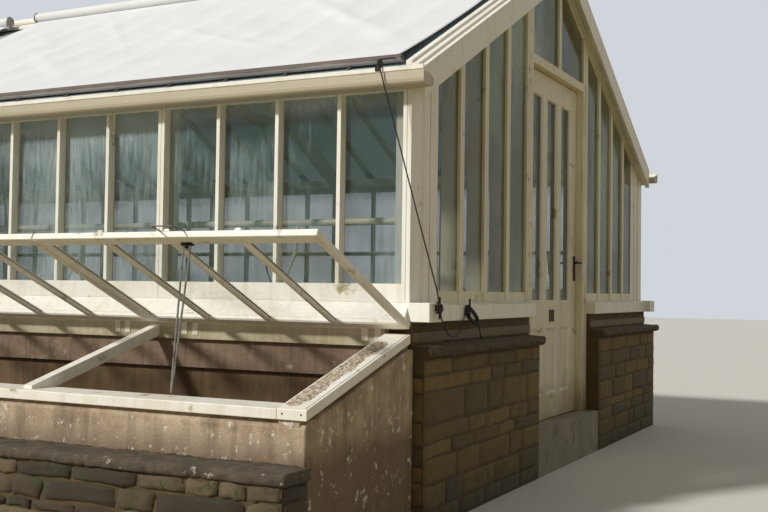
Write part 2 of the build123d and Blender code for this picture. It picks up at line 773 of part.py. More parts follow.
def lid(number, angle):
    """Lid as a frame with bars, hinge straps, a stirrup and a stay's eye, and its panes."""
    x0, x1 = lid_edges(number)
    middle = (x0 + x1) / 2
    body = block(x0, x1, lid_back, lid_length, -lid_thickness, 0)
    pane = (x1 - x0 - 2 * lid_stile - (panes_per_bay - 1) * lid_bar) / panes_per_bay
    panes = []
    for position in range(panes_per_bay):
        start = x0 + lid_stile + position * (pane + lid_bar)
        body -= block(start, start + pane, lid_rail, lid_length - lid_rail, -lid_thickness - 1, 1)
        panes.append(block(start, start + pane, lid_rail, lid_length - lid_rail,
                           -glass - lid_glass_depth, -lid_glass_depth))
    third = lid_hinge_length / 3
    for centre in lid_hinge_centres(number):
        half = third / 2 - knuckle_clearance
        body += Pos(centre, 0, 0) * Rot(0, 90, 0) * Cylinder(lid_pin_radius, 2 * half)
        body += block(centre - half, centre + half, 0, lid_back + lid_strap, 0, lid_flap)
    body += lid_eye(middle + stay_offset) + stirrup(middle)
    lift = lid_frame(angle).location
    return lift * body, [lift * pane_solid for pane_solid in panes]


def lid_rail_hinges(number):
    """The hinge rail's half of a lid's hinges: two outer knuckles on a flap."""
    third = lid_hinge_length / 3
    pieces = []
    for centre in lid_hinge_centres(number):
        for sign in (-1, 1):
            x = -centre + sign * third
            knuckle = Pos(x, lid_pin_y, lid_pin_z) * Rot(0, 90, 0) * Cylinder(lid_pin_radius, third)
            flap = block(x - third / 2, x + third / 2, -rail_face - lid_flap, -rail_face,
                         rail_foot + 20, lid_pin_z)
            pieces.append(knuckle + flap)
    return pieces


def lid_point(x, out, up, angle):
    """House coordinates of a point of a lid: out from its hinge and up from its top face."""
    y = lid_pin_y - out * cos(radians(angle)) + up * sin(radians(angle))
    z = lid_pin_z + out * sin(radians(angle)) + up * cos(radians(angle))
    return (x, y, z)


def rod(points, radius):
    """Round rod through straight runs, with a ball at each joint."""
    shape = None
    for start, end in zip(points[:-1], points[1:]):
        run = Vector(*end) - Vector(*start)
        plane = Plane(origin=start, z_dir=run)
        piece = plane.location * Pos(0, 0, run.length / 2) * Cylinder(radius, run.length)
        shape = piece if shape is None else shape + piece
    for point in points[1:-1]:
        shape += Pos(*point) * Sphere(radius)
    return shape


# Stays: a bent rod turning in the eye of each raised lid, its legs meeting at a foot over the curb
def stay(number):
    """One stay, from the front rail of its lid to the inner edge of the curb."""
    x0, x1 = lid_edges(number)
    head = -(x0 + x1) / 2 - stay_offset
    _, pin_y, pin_z = lid_point(head, stay_pin_out, -stay_pin_drop, lid_rise)
    foot_y = curb_inner + stay_radius
    foot_z = curb_outer_top + stay_foot_gap + stay_radius
    ankle_x = head - stay_lean * 0.88
    ankle = (foot_z + (pin_z - foot_z) * 0.12, foot_y + (pin_y - foot_y) * 0.12)
    half = stay_spread / 2
    near = stay_radius * 0.9
    return rod([(head, pin_y, pin_z), (head - half, pin_y, pin_z),
                (ankle_x - near, ankle[1], ankle[0]), (head - stay_lean, foot_y, foot_z),
                (ankle_x + near, ankle[1], ankle[0]), (head + half, pin_y, pin_z),
                (head, pin_y, pin_z)], stay_radius)


raised = [0, 1]
raised_lids = []
raised_panes = []
shut_lids = []
shut_panes = []
rail_hinges = []
for number in range(lid_count):
    rail_hinges += lid_rail_hinges(number)
    if number in raised:
        frame, panes = lid(number, lid_rise)
        raised_lids.append(frame)
        raised_panes.append(panes)
    else:
        frame, panes = lid(number, -lid_fall)
        shut_lids.append(frame)
        shut_panes += panes
stays = [stay(number) for number in raised]

# Roller blinds on the front slope
roller_y = -blind_roller_from_ridge
roller_z = roof_line(roller_y) + blind_roller_rise
bar_y = -half_span + blind_bar_from_eaves
bar_z = roof_line(bar_y) + tongue_rise + blind_bar_radius / cos(radians(pitch)) + blind_clearance
blind_edge = half_length - blind_margin
far_blind_end = blind_edge - blind_length - blind_between
blind_spans = [(blind_edge - blind_length, blind_edge), (-blind_edge, far_blind_end)]
cloth_top = (roller_y - blind_roller_radius * sin(radians(pitch)) * 0.2,
             roller_z - blind_roller_radius - blind_clearance)
cloth_foot = (bar_y, bar_z + blind_bar_radius + blind_clearance)
rollers = []
cloths = []
bottom_bars = []
brackets = []
for start, end in blind_spans:
    middle = (start + end) / 2
    tube = Cylinder(blind_roller_radius, end - start)
    rollers.append(Pos(middle, roller_y, roller_z) * Rot(0, 90, 0) * tube)
    for x in (start - bracket_thickness, end):
        cheek = Pos(x + bracket_thickness / 2, roller_y, roller_z) * Rot(0, 90, 0) * Cylinder(
            blind_roller_radius + 6, bracket_thickness)
        leg = block(x, x + bracket_thickness, roller_y - 18, roller_y + 18,
                    roof_line(roller_y) + tongue_rise + 12, roller_z)
        brackets.append(cheek + leg)
    bottom_bar = Cylinder(blind_bar_radius, end - start)
    bottom_bars.append(Pos(middle, bar_y, bar_z) * Rot(0, 90, 0) * bottom_bar)
    run = [(cloth_top[0], cloth_top[1] - blind_cloth), (cloth_foot[0], cloth_foot[1]),
           (cloth_foot[0], cloth_foot[1] + blind_cloth), (cloth_top[0], cloth_top[1])]
    cloths.append(along_x(run, start + 12, end - 12))

# Ventilator gear inside both side walls
gear_y = -half_span + gear_from_wall
gear_z = door_foot + gear_height


def gear():
    """Shaft on brackets from the posts, with a crank arm for each sash."""
    length = 2 * half_length - 2 * frame_depth - 60
    shape = Pos(0, gear_y, gear_z) * Rot(0, 90, 0) * Cylinder(gear_radius, length)
    for line in bay_lines[1:-1]:
        shape += block(line - 8, line + 8, -post_inner, gear_y, gear_z - 10, gear_z + 10)
    for line in bay_lines[:-1]:
        x = line + bay / 2
        shape += rod([(x, gear_y, gear_z), (x, gear_y - 30, gear_z - gear_arm)], 8)
        shape += rod([(x, gear_y - 30, gear_z - gear_arm),
                      (x, -sash_inner + 8, sill_top + sash_foot_rail * 0.6)], 6)
        shape += Pos(x, gear_y - 30, gear_z - gear_arm) * Sphere(11)
    return shape


gears = both_sides([gear()])

# Blind cord: from the bottom bar over a pulley on the gutter's rim, down to a cleat on the
# corner block where it is wound, and on to a hank hung on a second cleat on the gable's sill.
def cleat(face_x, y, z):
    """Two-horned cleat on a face that looks along +X."""
    base = block(face_x, face_x + cleat_reach - 2, y - 9, y + 9, z - 13, z + 13)
    horn = Pos(face_x + cleat_reach, y, z) * Cylinder(4.5, cleat_horn)
    tips = [Pos(face_x + cleat_reach, y, z + sign * cleat_horn / 2) * Sphere(4.5) for sign in (-1, 1)]
    return base + horn + tips[0] + tips[1]


cleat_z = sill_top - 20
first_cleat = (corner_face + cleat_reach, -half_span + 45, cleat_z)
second_cleat = (gable_sill_nose + cleat_reach, -half_span + 475, cleat_z - 8)
cleat_1 = cleat(corner_face, first_cleat[1], first_cleat[2])
cleat_2 = cleat(gable_sill_nose, second_cleat[1], second_cleat[2])


def winding():
    """Outer shape of the turns round the first cleat: a spindle about its horns."""
    with BuildSketch(Plane.XZ) as outline:
        with BuildLine():
            Polyline((0, 27), (9, 27), (13, 20))
            ThreePointArc((13, 20), (17, 0), (13, -20))
            Polyline((13, -20), (9, -27), (0, -27), (0, 27))
        make_face()
    return Pos(*first_cleat) * revolve(outline.sketch, axis=Axis.Z) - cleat_1


def hank():
    """Outer shape of the loops hung on the second cleat and lying over to the right."""
    with BuildSketch(Plane.YZ) as ring:
        SlotOverall(168, 58)
        SlotOverall(136, 26, mode=Mode.SUBTRACT)
    loops = extrude(ring.sketch, amount=13)
    tilt = -26.0
    middle_y = second_cleat[1] + 55 * cos(radians(tilt))
    middle_z = second_cleat[2] - 6 + 55 * sin(radians(tilt))
    return Pos(gable_sill_nose + 2, middle_y, middle_z) * Rot(tilt, 0, 0) * loops - cleat_2


def cord_tube(points, held):
    """Cord as straight runs with arcs between them; held gives the radius at a pulley's corner."""
    corners = [Vector(*point) for point in points]
    radii = []
    for number in range(1, len(corners) - 1):
        before = corners[number] - corners[number - 1]
        after = corners[number + 1] - corners[number]
        turn = radians(before.get_angle(after))
        radius = 0.45 * min(before.length, after.length) / tan(turn / 2)
        radii.append(held.get(number, radius))
    if len(radii) == 1:
        path = FilletPolyline(*corners, radius=radii[0])
    else:
        path = FilletPolyline(*corners, radius=radii)
    print("cord radii", [round(radius) for radius in radii])
    start = Plane(origin=corners[0], z_dir=corners[1] - corners[0])
    return sweep(start * Circle(cord_radius), path=Wire(path.edges()))


def near_gable(x, y, z):
    """Point given from the door gable's plane, the front sash face and the door's foot."""
    return (half_length + x, -half_span + y, door_foot + z)


gutter_top = gutter_foot + gutter_rise
pulley_x = half_length - pulley_from_gable
pulley_corner = (pulley_x, -half_span - gutter_reach - pulley_reach, gutter_top + pulley_rise)
bar_anchor = (pulley_x, bar_y - blind_bar_radius + 2, bar_z)
winding_top = (first_cleat[0], first_cleat[1] - 10, first_cleat[2] + 16)
winding_foot = (first_cleat[0], first_cleat[1] + 9, first_cleat[2] - 20)
hank_foot = (second_cleat[0] - 9, second_cleat[1] - 12, second_cleat[2] - 26)
hung = [winding_foot, near_gable(112, 115, 605), near_gable(102, 165, 562), near_gable(92, 235, 537),
        near_gable(83, 310, 541), near_gable(76, 375, 575), near_gable(70, 425, 612), hank_foot]
tail = [near_gable(70, 590, 596), near_gable(76, 604, 566), near_gable(78, 612, 527)]
cord_run = cord_tube([bar_anchor, pulley_corner, winding_top], {1: pulley_radius})
cord_hung = cord_tube(hung, {})
cord_tail = cord_tube(tail, {}) + Pos(*tail[-1]) * Sphere(cord_radius * 1.7)


def pulley():
    """Grooved wheel that the taut cord lies on, with a bracket clamped to the gutter's rim."""
    corner = Vector(*pulley_corner)
    inward = (Vector(*bar_anchor) - corner).normalized()
    down = (Vector(*winding_top) - corner).normalized()
    half_turn = (inward + down).normalized()
    half_angle = radians(inward.get_angle(down)) / 2
    centre = corner + half_turn * (pulley_radius / sin(half_angle))
    axis = inward.cross(down).normalized()
    wheel = Plane(origin=centre, z_dir=axis).location
    groove = pulley_radius - cord_radius - blind_clearance
    side = cord_radius + 0.4
    shape = Cylinder(groove, 2 * side + 1)
    for sign in (-1, 1):
        shape += Pos(0, 0, sign * (side + 1)) * Cylinder(pulley_radius + 1.5, 2)
    shape += Pos(0, 0, side + 5) * Cylinder(4, 12)
    shape = wheel * shape
    rim = -half_span - gutter_reach
    axle = wheel * Pos(0, 0, side + 8) * Box(9, 9, 6)
    foot_x = axle.center().X
    foot = block(foot_x - 12, foot_x + 12, rim - 4, rim, gutter_top - 14, gutter_top)
    foot += block(foot_x - 12, foot_x + 12, rim - 4, rim + 12, gutter_top, gutter_top + 4)
    stem = block(foot_x - 4, foot_x + 4, rim - 4, rim + 8, gutter_top, axle.center().Z + 4)
    return shape + axle + stem + foot


cord_pulley = pulley()

# The whole is moved so that the origin is under the middle of its footprint
reach_front = ledge_front
reach_back = half_span + gutter_reach
shift = Pos(0, (reach_front - reach_back) / 2, 0)

nodes = {
    "front_footwall": [front_plinth],
    "back_footwall": [back_plinth],
    "door_gable_footwalls": [gable_left, gable_right],
    "far_gable_footwall": [far_gable],
    "threshold": [threshold],
    "side_sills": both_sides([side_sill]),
    "gable_sills": [gable_sill_left, gable_sill_right, far_sill],
    "corner_posts": corner_posts,
    "side_posts": both_sides(side_posts()),
    "side_sashes": both_sides(sashes),
    "side_glass": both_sides(side_panes),
    "eaves_plates": both_sides([eaves_plate]),
    "gutters": both_sides([gutter]),
    "gable_frames": [door_gable_frame, far_gable_frame],
    "door_frame": [door_frame],
    "gable_glass": door_gable_glass + far_gable_glass,
    "roof_bars": both_sides(roof_bars),
    "roof_glass": both_sides(roof_panes),
    "ridge_board": [ridge],
    "ridge_capping": [ridge_cap],
    "roof_trusses": trusses,
    "bargeboards": [bargeboards, other_end(bargeboards)],
    "verge_packing": [packing, other_end(packing)],
    "verge_cappings": [verge_caps, other_end(verge_caps)],
    "finials": [door_finial, other_end(door_finial)],
    "ventilator_gear": gears,
    "blind_rollers": rollers,
    "blind_brackets": brackets,
    "blind_cloths": cloths,
    "blind_bottom_bars": bottom_bars,
    "door_leaf": [door_leaf],
    "door_glass": door_panes,
    "door_vent": [door_vent],
    "door_lock": [door_lock, inner_lock],
    "door_lever": [door_lever],
    "leaf_hinges": leaf_hinges,
    "frame_hinges": frame_hinges,
    "cold_frame_walls": [bed_walls],
    "cold_frame_ledge": [ledge],
    "ledge_flags": [ledge_flags],
    "cold_frame_curb": [curb],
    "cold_frame_rafters": bed_rafters,
    "hinge_rail": [hinge_rail],
    "lid_hinges": rail_hinges,
    "back_board": [back_board],
    "lid_1": [raised_lids[0]],
    "lid_1_glass": raised_panes[0],
    "lid_2": [raised_lids[1]],
    "lid_2_glass": raised_panes[1],
    "shut_lids": shut_lids,
    "shut_lid_glass": shut_panes,
    "stay_1": [stays[0]],
    "stay_2": [stays[1]],
    "cord_pulley": [cord_pulley],
    "cord_cleats": [cleat_1, cleat_2],
    "cord_windings": [winding(), hank()],
    "blind_cord": [cord_run, cord_hung, cord_tail],
}

os.makedirs("parts", exist_ok=True)
for name, shapes in nodes.items():
    placed = [shift * shape for shape in shapes]
    solid = placed[0] if len(placed) == 1 else Compound(children=placed)
    export_step(solid, f"parts/{name}.step")
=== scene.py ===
import bmesh
import bpy
import numpy as np
from math import radians
from mathutils import Matrix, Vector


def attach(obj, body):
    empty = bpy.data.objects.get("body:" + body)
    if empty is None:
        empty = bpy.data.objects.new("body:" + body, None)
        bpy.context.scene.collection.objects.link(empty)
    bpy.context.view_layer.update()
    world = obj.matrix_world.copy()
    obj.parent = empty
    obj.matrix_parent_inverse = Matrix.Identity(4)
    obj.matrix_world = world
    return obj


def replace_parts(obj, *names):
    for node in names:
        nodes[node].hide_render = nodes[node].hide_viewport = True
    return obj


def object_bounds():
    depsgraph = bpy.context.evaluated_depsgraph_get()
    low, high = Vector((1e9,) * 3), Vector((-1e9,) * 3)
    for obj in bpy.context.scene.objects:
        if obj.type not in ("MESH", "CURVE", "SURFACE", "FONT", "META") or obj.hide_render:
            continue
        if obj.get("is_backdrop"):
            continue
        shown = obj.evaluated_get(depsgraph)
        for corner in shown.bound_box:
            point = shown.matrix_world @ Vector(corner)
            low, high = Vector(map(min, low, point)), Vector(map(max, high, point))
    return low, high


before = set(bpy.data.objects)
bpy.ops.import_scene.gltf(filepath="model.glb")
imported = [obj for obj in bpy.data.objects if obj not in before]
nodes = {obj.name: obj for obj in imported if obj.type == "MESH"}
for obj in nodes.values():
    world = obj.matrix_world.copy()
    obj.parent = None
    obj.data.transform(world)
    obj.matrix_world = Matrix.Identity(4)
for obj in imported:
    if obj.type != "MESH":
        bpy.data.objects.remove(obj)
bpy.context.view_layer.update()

# Camera: in front of the near corner, a metre over the lowest ground, looking along the
# side of the house with its gable on the right, a little upwards.
photo_width, focal_pixels, sensor_width = 768, 1061, 36
eye_place = (5.785, -5.5275, 0.983)
heading, upwards, roll = 26.888, 1.878, 0.7766
eye = bpy.data.objects.new("view", bpy.data.cameras.new("view"))
bpy.context.collection.objects.link(eye)
eye.data.lens = focal_pixels / photo_width * sensor_width
eye.data.sensor_width = sensor_width
eye.matrix_world = (Matrix.Translation(eye_place) @ Matrix.Rotation(radians(heading), 4, "Z")
                    @ Matrix.Rotation(radians(90 + upwards), 4, "X")
                    @ Matrix.Rotation(radians(roll), 4, "Z"))
bpy.context.scene.camera = eye
bpy.context.scene.view_settings.view_transform = "Standard"


# Light: a soft sun from the front left, an even pale sky for what it doesn't reach, and a
# pale backdrop that the camera, reflections and glass see.
def linear(code):
    """Linear colour of an sRGB hex code."""
    parts = np.array([int(code[i:i + 2], 16) for i in (1, 3, 5)]) / 255
    parts = np.where(parts > 0.04045, ((parts + 0.055) / 1.055) ** 2.4, parts / 12.92)
    return (*parts, 1.0)


def add(tree, kind, settings, links=()):
    """A shader node with its settings, and its links from outputs or from nodes' first outputs."""
    made = tree.nodes.new("ShaderNode" + kind)
    for key, value in settings.items():
        if key == "stops":
            ramp = made.color_ramp
            while len(ramp.elements) < len(value):
                ramp.elements.new(0.5)
            for element, (place, code) in zip(ramp.elements, value):
                element.position = place
                element.color = linear(code)
        elif isinstance(key, int) or key in made.inputs:
            made.inputs[key].default_value = value
        else:
            setattr(made, key, value)
    for socket, source in links:
        tree.links.new(getattr(source, "outputs", [source])[0], made.inputs[socket])
    return made


def looked_at(tree):
    """A node that gives 1 on rays from the camera, reflections and glass, and 0 on all others."""
    path = add(tree, "LightPath", {})
    total = add(tree, "Math", {"operation": "ADD"},
                [(0, path.outputs["Is Camera Ray"]), (1, path.outputs["Is Glossy Ray"])])
    return add(tree, "Math", {"operation": "ADD", "use_clamp": True},
               [(0, total), (1, path.outputs["Is Transmission Ray"])])


sun = bpy.data.objects.new("key", bpy.data.lights.new("key", "SUN"))
bpy.context.collection.objects.link(sun)
sun.data.energy = 3.05
sun.data.angle = radians(6)
sun.data.color = (1.0, 0.985, 0.955)
sun.rotation_euler = (radians(56), 0, radians(-33))
world = bpy.data.worlds.new("sky")
bpy.context.scene.world = world
world.use_nodes = True
sky = world.node_tree
backdrop = add(sky, "Background", {"Color": linear("#CFD5DA"), "Strength": 1.0})
ambient = sky.nodes["Background"]
ambient.inputs["Color"].default_value = (1.0, 0.96, 0.85, 1)
ambient.inputs["Strength"].default_value = 0.28
blend = add(sky, "MixShader", {}, [(0, looked_at(sky)), (1, ambient), (2, backdrop)])
sky.links.new(blend.outputs[0], sky.nodes["World Output"].inputs["Surface"])
bpy.ops.mesh.primitive_plane_add(size=80)
floor = bpy.context.object
floor.name = "floor"
ground = bpy.data.materials.new("pale_floor")
ground.use_nodes = True
surface = ground.node_tree.nodes["Principled BSDF"]
surface.inputs["Roughness"].default_value = 0.9
tint = add(ground.node_tree, "Mix", {"data_type": "RGBA", 6: linear("#A99B76"), 7: linear("#D6D4CE")},
           [(0, looked_at(ground.node_tree))])
ground.node_tree.links.new(tint.outputs[2], surface.inputs["Base Color"])
floor.data.materials.append(ground)
floor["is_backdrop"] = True


# Blind cord: one length of black braid from the bottom bar over the pulley on the gutter,
# taut to the cleat on the corner block, three and a quarter figure-of-eight turns there, a
# slack bight, four and a half loops hung on the second cleat, and a short knotted tail.
def weathered(name, tones, patch, grain, stretch=(1, 1, 1), depth=0.0004, rough=(0.5, 0.7),
              growth=None, tone=None, metallic=0.0, streaks=None, foot=None):
    """Material whose tones vary by patches and by a finer grain, both sized in metres.

    tones are ramp stops, or the colours of stops at 0.3, 0.55 and 0.8. stretch lengthens the
    grain along an axis, depth is its relief, growth is (colour, size, cover) of moss, lichen
    or rust, and tone names a mesh attribute from 0 to 1 that shifts a whole stone along the
    ramp. streaks are (colour, width, strength) of stains run down it, foot (colour, lowest,
    highest) of a band of another colour towards the bottom: dirt splashed up from below on
    the walls and the low timber, painted shade on the gutter's face below its lip and at the
    roof bars' ends under the blind's lath.
    """
    if isinstance(tones[0], str):
        tones = list(zip((0.3, 0.55, 0.8), tones))
    made = bpy.data.materials.new(name)
    made.use_nodes = True
    tree = made.node_tree
    shader = tree.nodes["Principled BSDF"]
    shader.inputs["Metallic"].default_value = metallic
    place = add(tree, "TexCoord", {}).outputs["Object"]
    wide = add(tree, "TexNoise", {"Scale": 1 / patch, "Detail": 5.0, "Roughness": 0.62}, [("Vector", place)])
    long = add(tree, "Mapping", {"Scale": stretch}, [("Vector", place)])
    fine = add(tree, "TexNoise", {"Scale": 1 / grain, "Detail": 6.0, "Roughness": 0.6}, [("Vector", long)])
    mixed = add(tree, "Mix", {0: 0.35}, [(2, wide), (3, fine)])
    if tone:
        own = add(tree, "Attribute", {"attribute_name": tone})
        mixed = add(tree, "Mix", {0: 0.45}, [(2, own.outputs["Fac"]), (3, mixed)])
    colour = add(tree, "ValToRGB", {"stops": tones}, [("Fac", mixed)]).outputs[0]
    stains_and_shade = []
    if streaks:
        code, width, strength = streaks
        down = add(tree, "Mapping", {"Scale": (1, 1, 0.09)}, [("Vector", place)])
        run = add(tree, "TexNoise", {"Scale": 1 / width, "Detail": 4.0, "Roughness": 0.6},
                  [("Vector", down)])
        mask = add(tree, "MapRange", {"From Min": 0.46, "From Max": 0.72, "To Max": strength},
                   [("Value", run)])
        stains_and_shade.append((code, mask))
    # foot: a band of colour towards the bottom, dirt on some materials and painted shade on others
    if foot:
        code, lowest, highest = foot
        band_height = highest - lowest
        height = add(tree, "SeparateXYZ", {}, [("Vector", place)])
        sway = add(tree, "Math", {"operation": "MULTIPLY_ADD", 1: -2.2 * band_height},
                   [(0, wide), (2, height.outputs["Z"])])
        mask = add(tree, "MapRange", {"From Min": lowest - 1.1 * band_height, "From Max": highest - 1.1 * band_height,
                                      "To Min": 0.85, "To Max": 0.0}, [("Value", sway)])
        stains_and_shade.append((code, mask))
    if growth:
        code, size, cover = growth
        spread = add(tree, "TexNoise", {"Scale": 1 / size, "Detail": 9.0, "Roughness": 0.68},
                     [("Vector", place)])
        mask = add(tree, "MapRange", {"From Min": 0.62 - 0.3 * cover, "From Max": 0.70 - 0.3 * cover},
                   [("Value", spread)])
        stains_and_shade.append((code, mask))
    for code, mask in stains_and_shade:
        colour = add(tree, "Mix", {"data_type": "RGBA", 7: linear(code)},
                     [(0, mask), (6, colour)]).outputs[2]
    tree.links.new(colour, shader.inputs["Base Color"])
    gloss = add(tree, "MapRange", {"From Min": 0.3, "From Max": 0.7, "To Min": rough[0], "To Max": rough[1]},
                [("Value", mixed)])
    tree.links.new(gloss.outputs[0], shader.inputs["Roughness"])
    relief = add(tree, "Bump", {"Strength": 0.8, "Distance": depth}, [("Height", fine)])
    tree.links.new(relief.outputs[0], shader.inputs["Normal"])
    return made


first_cleat, second_cleat = (4.008, -1.5075, 0.915), (3.950, -1.0775, 0.901)


def figure_eight(turns, per_turn):
    """Points x = -11.5 cos 2t, y = -10.5 sin 2t, z = 20.5 cos t millimetres from the first cleat.

    The first turn is a fifth smaller than that, and the last a fifth larger.
    """
    x, y, z = first_cleat
    t = np.pi / 4 + np.linspace(0, 2 * np.pi * turns, int(turns * per_turn) + 1)
    swell = np.linspace(0.8, 1.2, len(t))
    return np.stack([x - 0.0115 * np.cos(2 * t) * swell, y - 0.0105 * np.sin(2 * t) * swell,
                     z + 0.0205 * np.cos(t) * swell], 1)


def hank_loops(turns, per_turn):
    """Long ovals a cos u - 5 cos 3u by b (1.1 sin u + 0.1 sin 3u) millimetres, tilted 26 degrees.

    Half length a goes from 72 to 80 and back, half width b from 17 to 25, and the later
    loops lie 6 mm in front of the earlier ones.
    """
    x, y, z = second_cleat
    t = np.linspace(0, turns, int(turns * per_turn) + 1)[:-1]
    u = np.pi - 2 * np.pi * t
    stages = [0, 0.9, 1.3, 2.9, 3.3, 4.5]
    a = np.interp(t, stages, [72, 72, 80, 80, 73, 71]) / 1000 + 0.005
    b = np.interp(t, stages, [17, 17, 24.5, 25.5, 17.5, 17]) / 1000
    depth = np.interp(t, [0, 1.8, 2.3, 4.5], [3.4, 3.6, 9.6, 9.8]) / 1000
    along = 0.055 + a * np.cos(u) - 0.005 * np.cos(3 * u)
    across = b * (1.1 * np.sin(u) + 0.1 * np.sin(3 * u))
    tilt = radians(-26)
    return np.stack([x + depth, y + along * np.cos(tilt) - across * np.sin(tilt),
                     z + along * np.sin(tilt) + across * np.cos(tilt)], 1)


start = [(3.790, -1.5215, 1.9724), (3.790, -1.6405, 1.9427), (3.790, -1.6755, 1.934),
         (3.7975, -1.6697, 1.8995), (3.8053, -1.6642, 1.8648), (3.9987, -1.5270, 1.0027),
         (4.0065, -1.5215, 0.968)]
bight = [(4.0075, -1.4915, 0.872), (4.0035, -1.4475, 0.833), (3.993, -1.3875, 0.806),
         (3.982, -1.3175, 0.787), (3.973, -1.2425, 0.789), (3.966, -1.1775, 0.815),
         (3.958, -1.1275, 0.858), (3.954, -1.1045, 0.886)]
tail = [(3.9625, -0.9635, 0.832), (3.967, -0.9560, 0.806), (3.968, -0.9405, 0.777)]
route = np.concatenate([start, figure_eight(3.25, 16), bight, hank_loops(4.5, 16), tail])
curve = bpy.data.curves.new("blind_cord", "CURVE")
curve.dimensions = "3D"
line = curve.splines.new("NURBS")
line.points.add(len(route) - 1)
line.points.foreach_set("co", np.concatenate([route, np.ones((len(route), 1))], 1).ravel())
line.order_u = 3
line.use_endpoint_u = True
line.resolution_u = 5
curve.bevel_depth = 0.003
curve.bevel_resolution = 3
curve.use_fill_caps = True
cord = bpy.data.objects.new("blind_cord_line", curve)
bpy.context.collection.objects.link(cord)
# black polyester braid: strands 1.6 mm wide in the render, greyer where they have worn
braid = weathered("black_braided_cord", ("#0D0D0E", "#1A1A1B", "#2B2A29"),
                  0.05, 0.0016, depth=0.0004, rough=(0.75, 0.9))
curve.materials.append(braid)
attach(cord, "house")
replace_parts(cord, "blind_cord", "cord_windings")


# Knot at the cord's end: the tail wound round itself and pulled tight into a small ball,
# ribbed by its wraps.
def piece(name, points, faces, finish, slot, body="house", smooth=True, closed=True):
    """Object from a grid or list of points and its faces, on a body, with its finish; slot is not used."""
    mesh = bpy.data.meshes.new(name)
    mesh.from_pydata(np.asarray(points).reshape(-1, 3).tolist(), [], [tuple(face) for face in faces])
    if closed:
        turned = bmesh.new()
        turned.from_mesh(mesh)
        bmesh.ops.recalc_face_normals(turned, faces=turned.faces)
        turned.to_mesh(mesh)
        turned.free()
    mesh.polygons.foreach_set("use_smooth", [smooth] * len(mesh.polygons))
    mesh.materials.append(finish)
    made = bpy.data.objects.new(name, mesh)
    bpy.context.collection.objects.link(made)
    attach(made, body)
    return made


def lattice(rows, columns, ring=False, loop=False, capped=False):
    """Quads of a grid of points stored row by row.

    A ring joins each row's end to its start, a loop joins the last row to the first, and
    capped closes the first and the last row by one face each.
    """
    row, side = np.meshgrid(np.arange(rows - (not loop)), np.arange(columns - (not ring)), indexing="ij")
    after, beside = (row + 1) % rows, (side + 1) % columns
    quads = np.stack([row * columns + side, row * columns + beside, after * columns + beside,
                      after * columns + side], -1).reshape(-1, 4).tolist()
    return quads + ([range(columns), range((rows - 1) * columns, rows * columns)] if capped else [])


def wrapped_ball(centre, size, wraps, rows=18, columns=16):
    """Surface r = 1 + 0.14 cos(2 wraps u + v) of a squashed ball; u runs up it, v round it."""
    u, v = np.meshgrid(np.linspace(0.02, np.pi - 0.02, rows), np.linspace(0, 2 * np.pi, columns + 1)[:-1],
                       indexing="ij")
    r = 1 + 0.14 * np.cos(wraps * u * 2 + v)
    points = np.stack([r * np.sin(u) * np.cos(v), r * np.sin(u) * np.sin(v), r * np.cos(u)], -1)
    return points * size + centre, lattice(rows, columns, ring=True, capped=True)


knot = piece("cord_end_knot", *wrapped_ball(tail[-1], (0.005, 0.005, 0.007), 3), braid, "black_cord")

# Cream timber: old oil paint on softwood, chalky, greyer and green-stained low down, with
# brush marks along the grain. On the gable and the door it has yellowed, and it is darker
# with painted shade.
cream_tones = [(0.20, "#D3CBB0"), (0.34, "#E8E3D1"), (0.52, "#F2EFE4"), (0.8, "#F8F6EF")]
gable_yellowed_and_shade_tones = [(0.20, "#BFB389"), (0.34, "#D4CAA6"), (0.52, "#E2DABC"), (0.8, "#ECE6CF")]
rain_and_shade_tones = [(0.20, "#97886A"), (0.38, "#AC9F80"), (0.56, "#BFB496"), (0.8, "#D0C7AE")]
along_x, along_y, upright = (0.06, 1, 1), (1, 0.06, 1), (1, 1, 0.06)
algae = ("#9D9569", 0.13, 0.03)


def dress(names, finish):
    """Gives CAD nodes a finish."""
    for name in names:
        for slot in nodes[name].material_slots:
            slot.material = finish


def oil_paint(name, tones, grain, streaks=None, foot=None):
    """Brushed paint that chalks in patches of 0.35 m, with brush marks 3.5 mm wide along the grain."""
    return weathered(name, tones, 0.35, 0.0035, grain, 0.0005, (0.42, 0.62), algae,
                     streaks=streaks, foot=foot)


cream_along, cream_across, cream_upright = (
    oil_paint(f"old_cream_oil_paint_grain_{way}", cream_tones, grain,
              streaks=("#B9AD88", 0.035, 0.26), foot=("#A2946A", 0.27, 0.50))
    for way, grain in (("along_x", along_x), ("along_y", along_y), ("upright", upright)))
dress(["side_sills", "eaves_plates", "ridge_board", "ridge_capping", "cold_frame_rafters"], cream_along)
dress(["gable_sills", "roof_trusses", "bargeboards", "verge_packing", "verge_cappings"], cream_across)
dress(["corner_posts", "side_posts", "side_sashes", "finials"], cream_upright)
# gable and door paint: yellowed, and darker with painted shade of the shaded gable
gable_upright = oil_paint("yellowed_oil_paint_with_painted_shade_grain_upright", gable_yellowed_and_shade_tones, upright,
                          streaks=("#A99C6E", 0.035, 0.3), foot=("#96875A", 0.27, 0.50))
dress(["gable_frames", "door_frame", "door_leaf"], gable_upright)
# the roof bars' ends under the blind's lath are dark brown: painted shade
dress(["roof_bars"], oil_paint("cream_oil_paint_on_roof_bars", cream_tones, along_y,
                               foot=("#2B261A", 1.965, 1.985)))
# the hinge rail's paint is darker: painted shade under the sill's nose, with rain stains streaked down it
dress(["hinge_rail"], weathered("rain_stained_oil_paint_with_painted_shade", rain_and_shade_tones, 0.22, 0.0035, along_x, 0.0005,
                                (0.5, 0.7), algae, streaks=("#857552", 0.03, 0.4)))


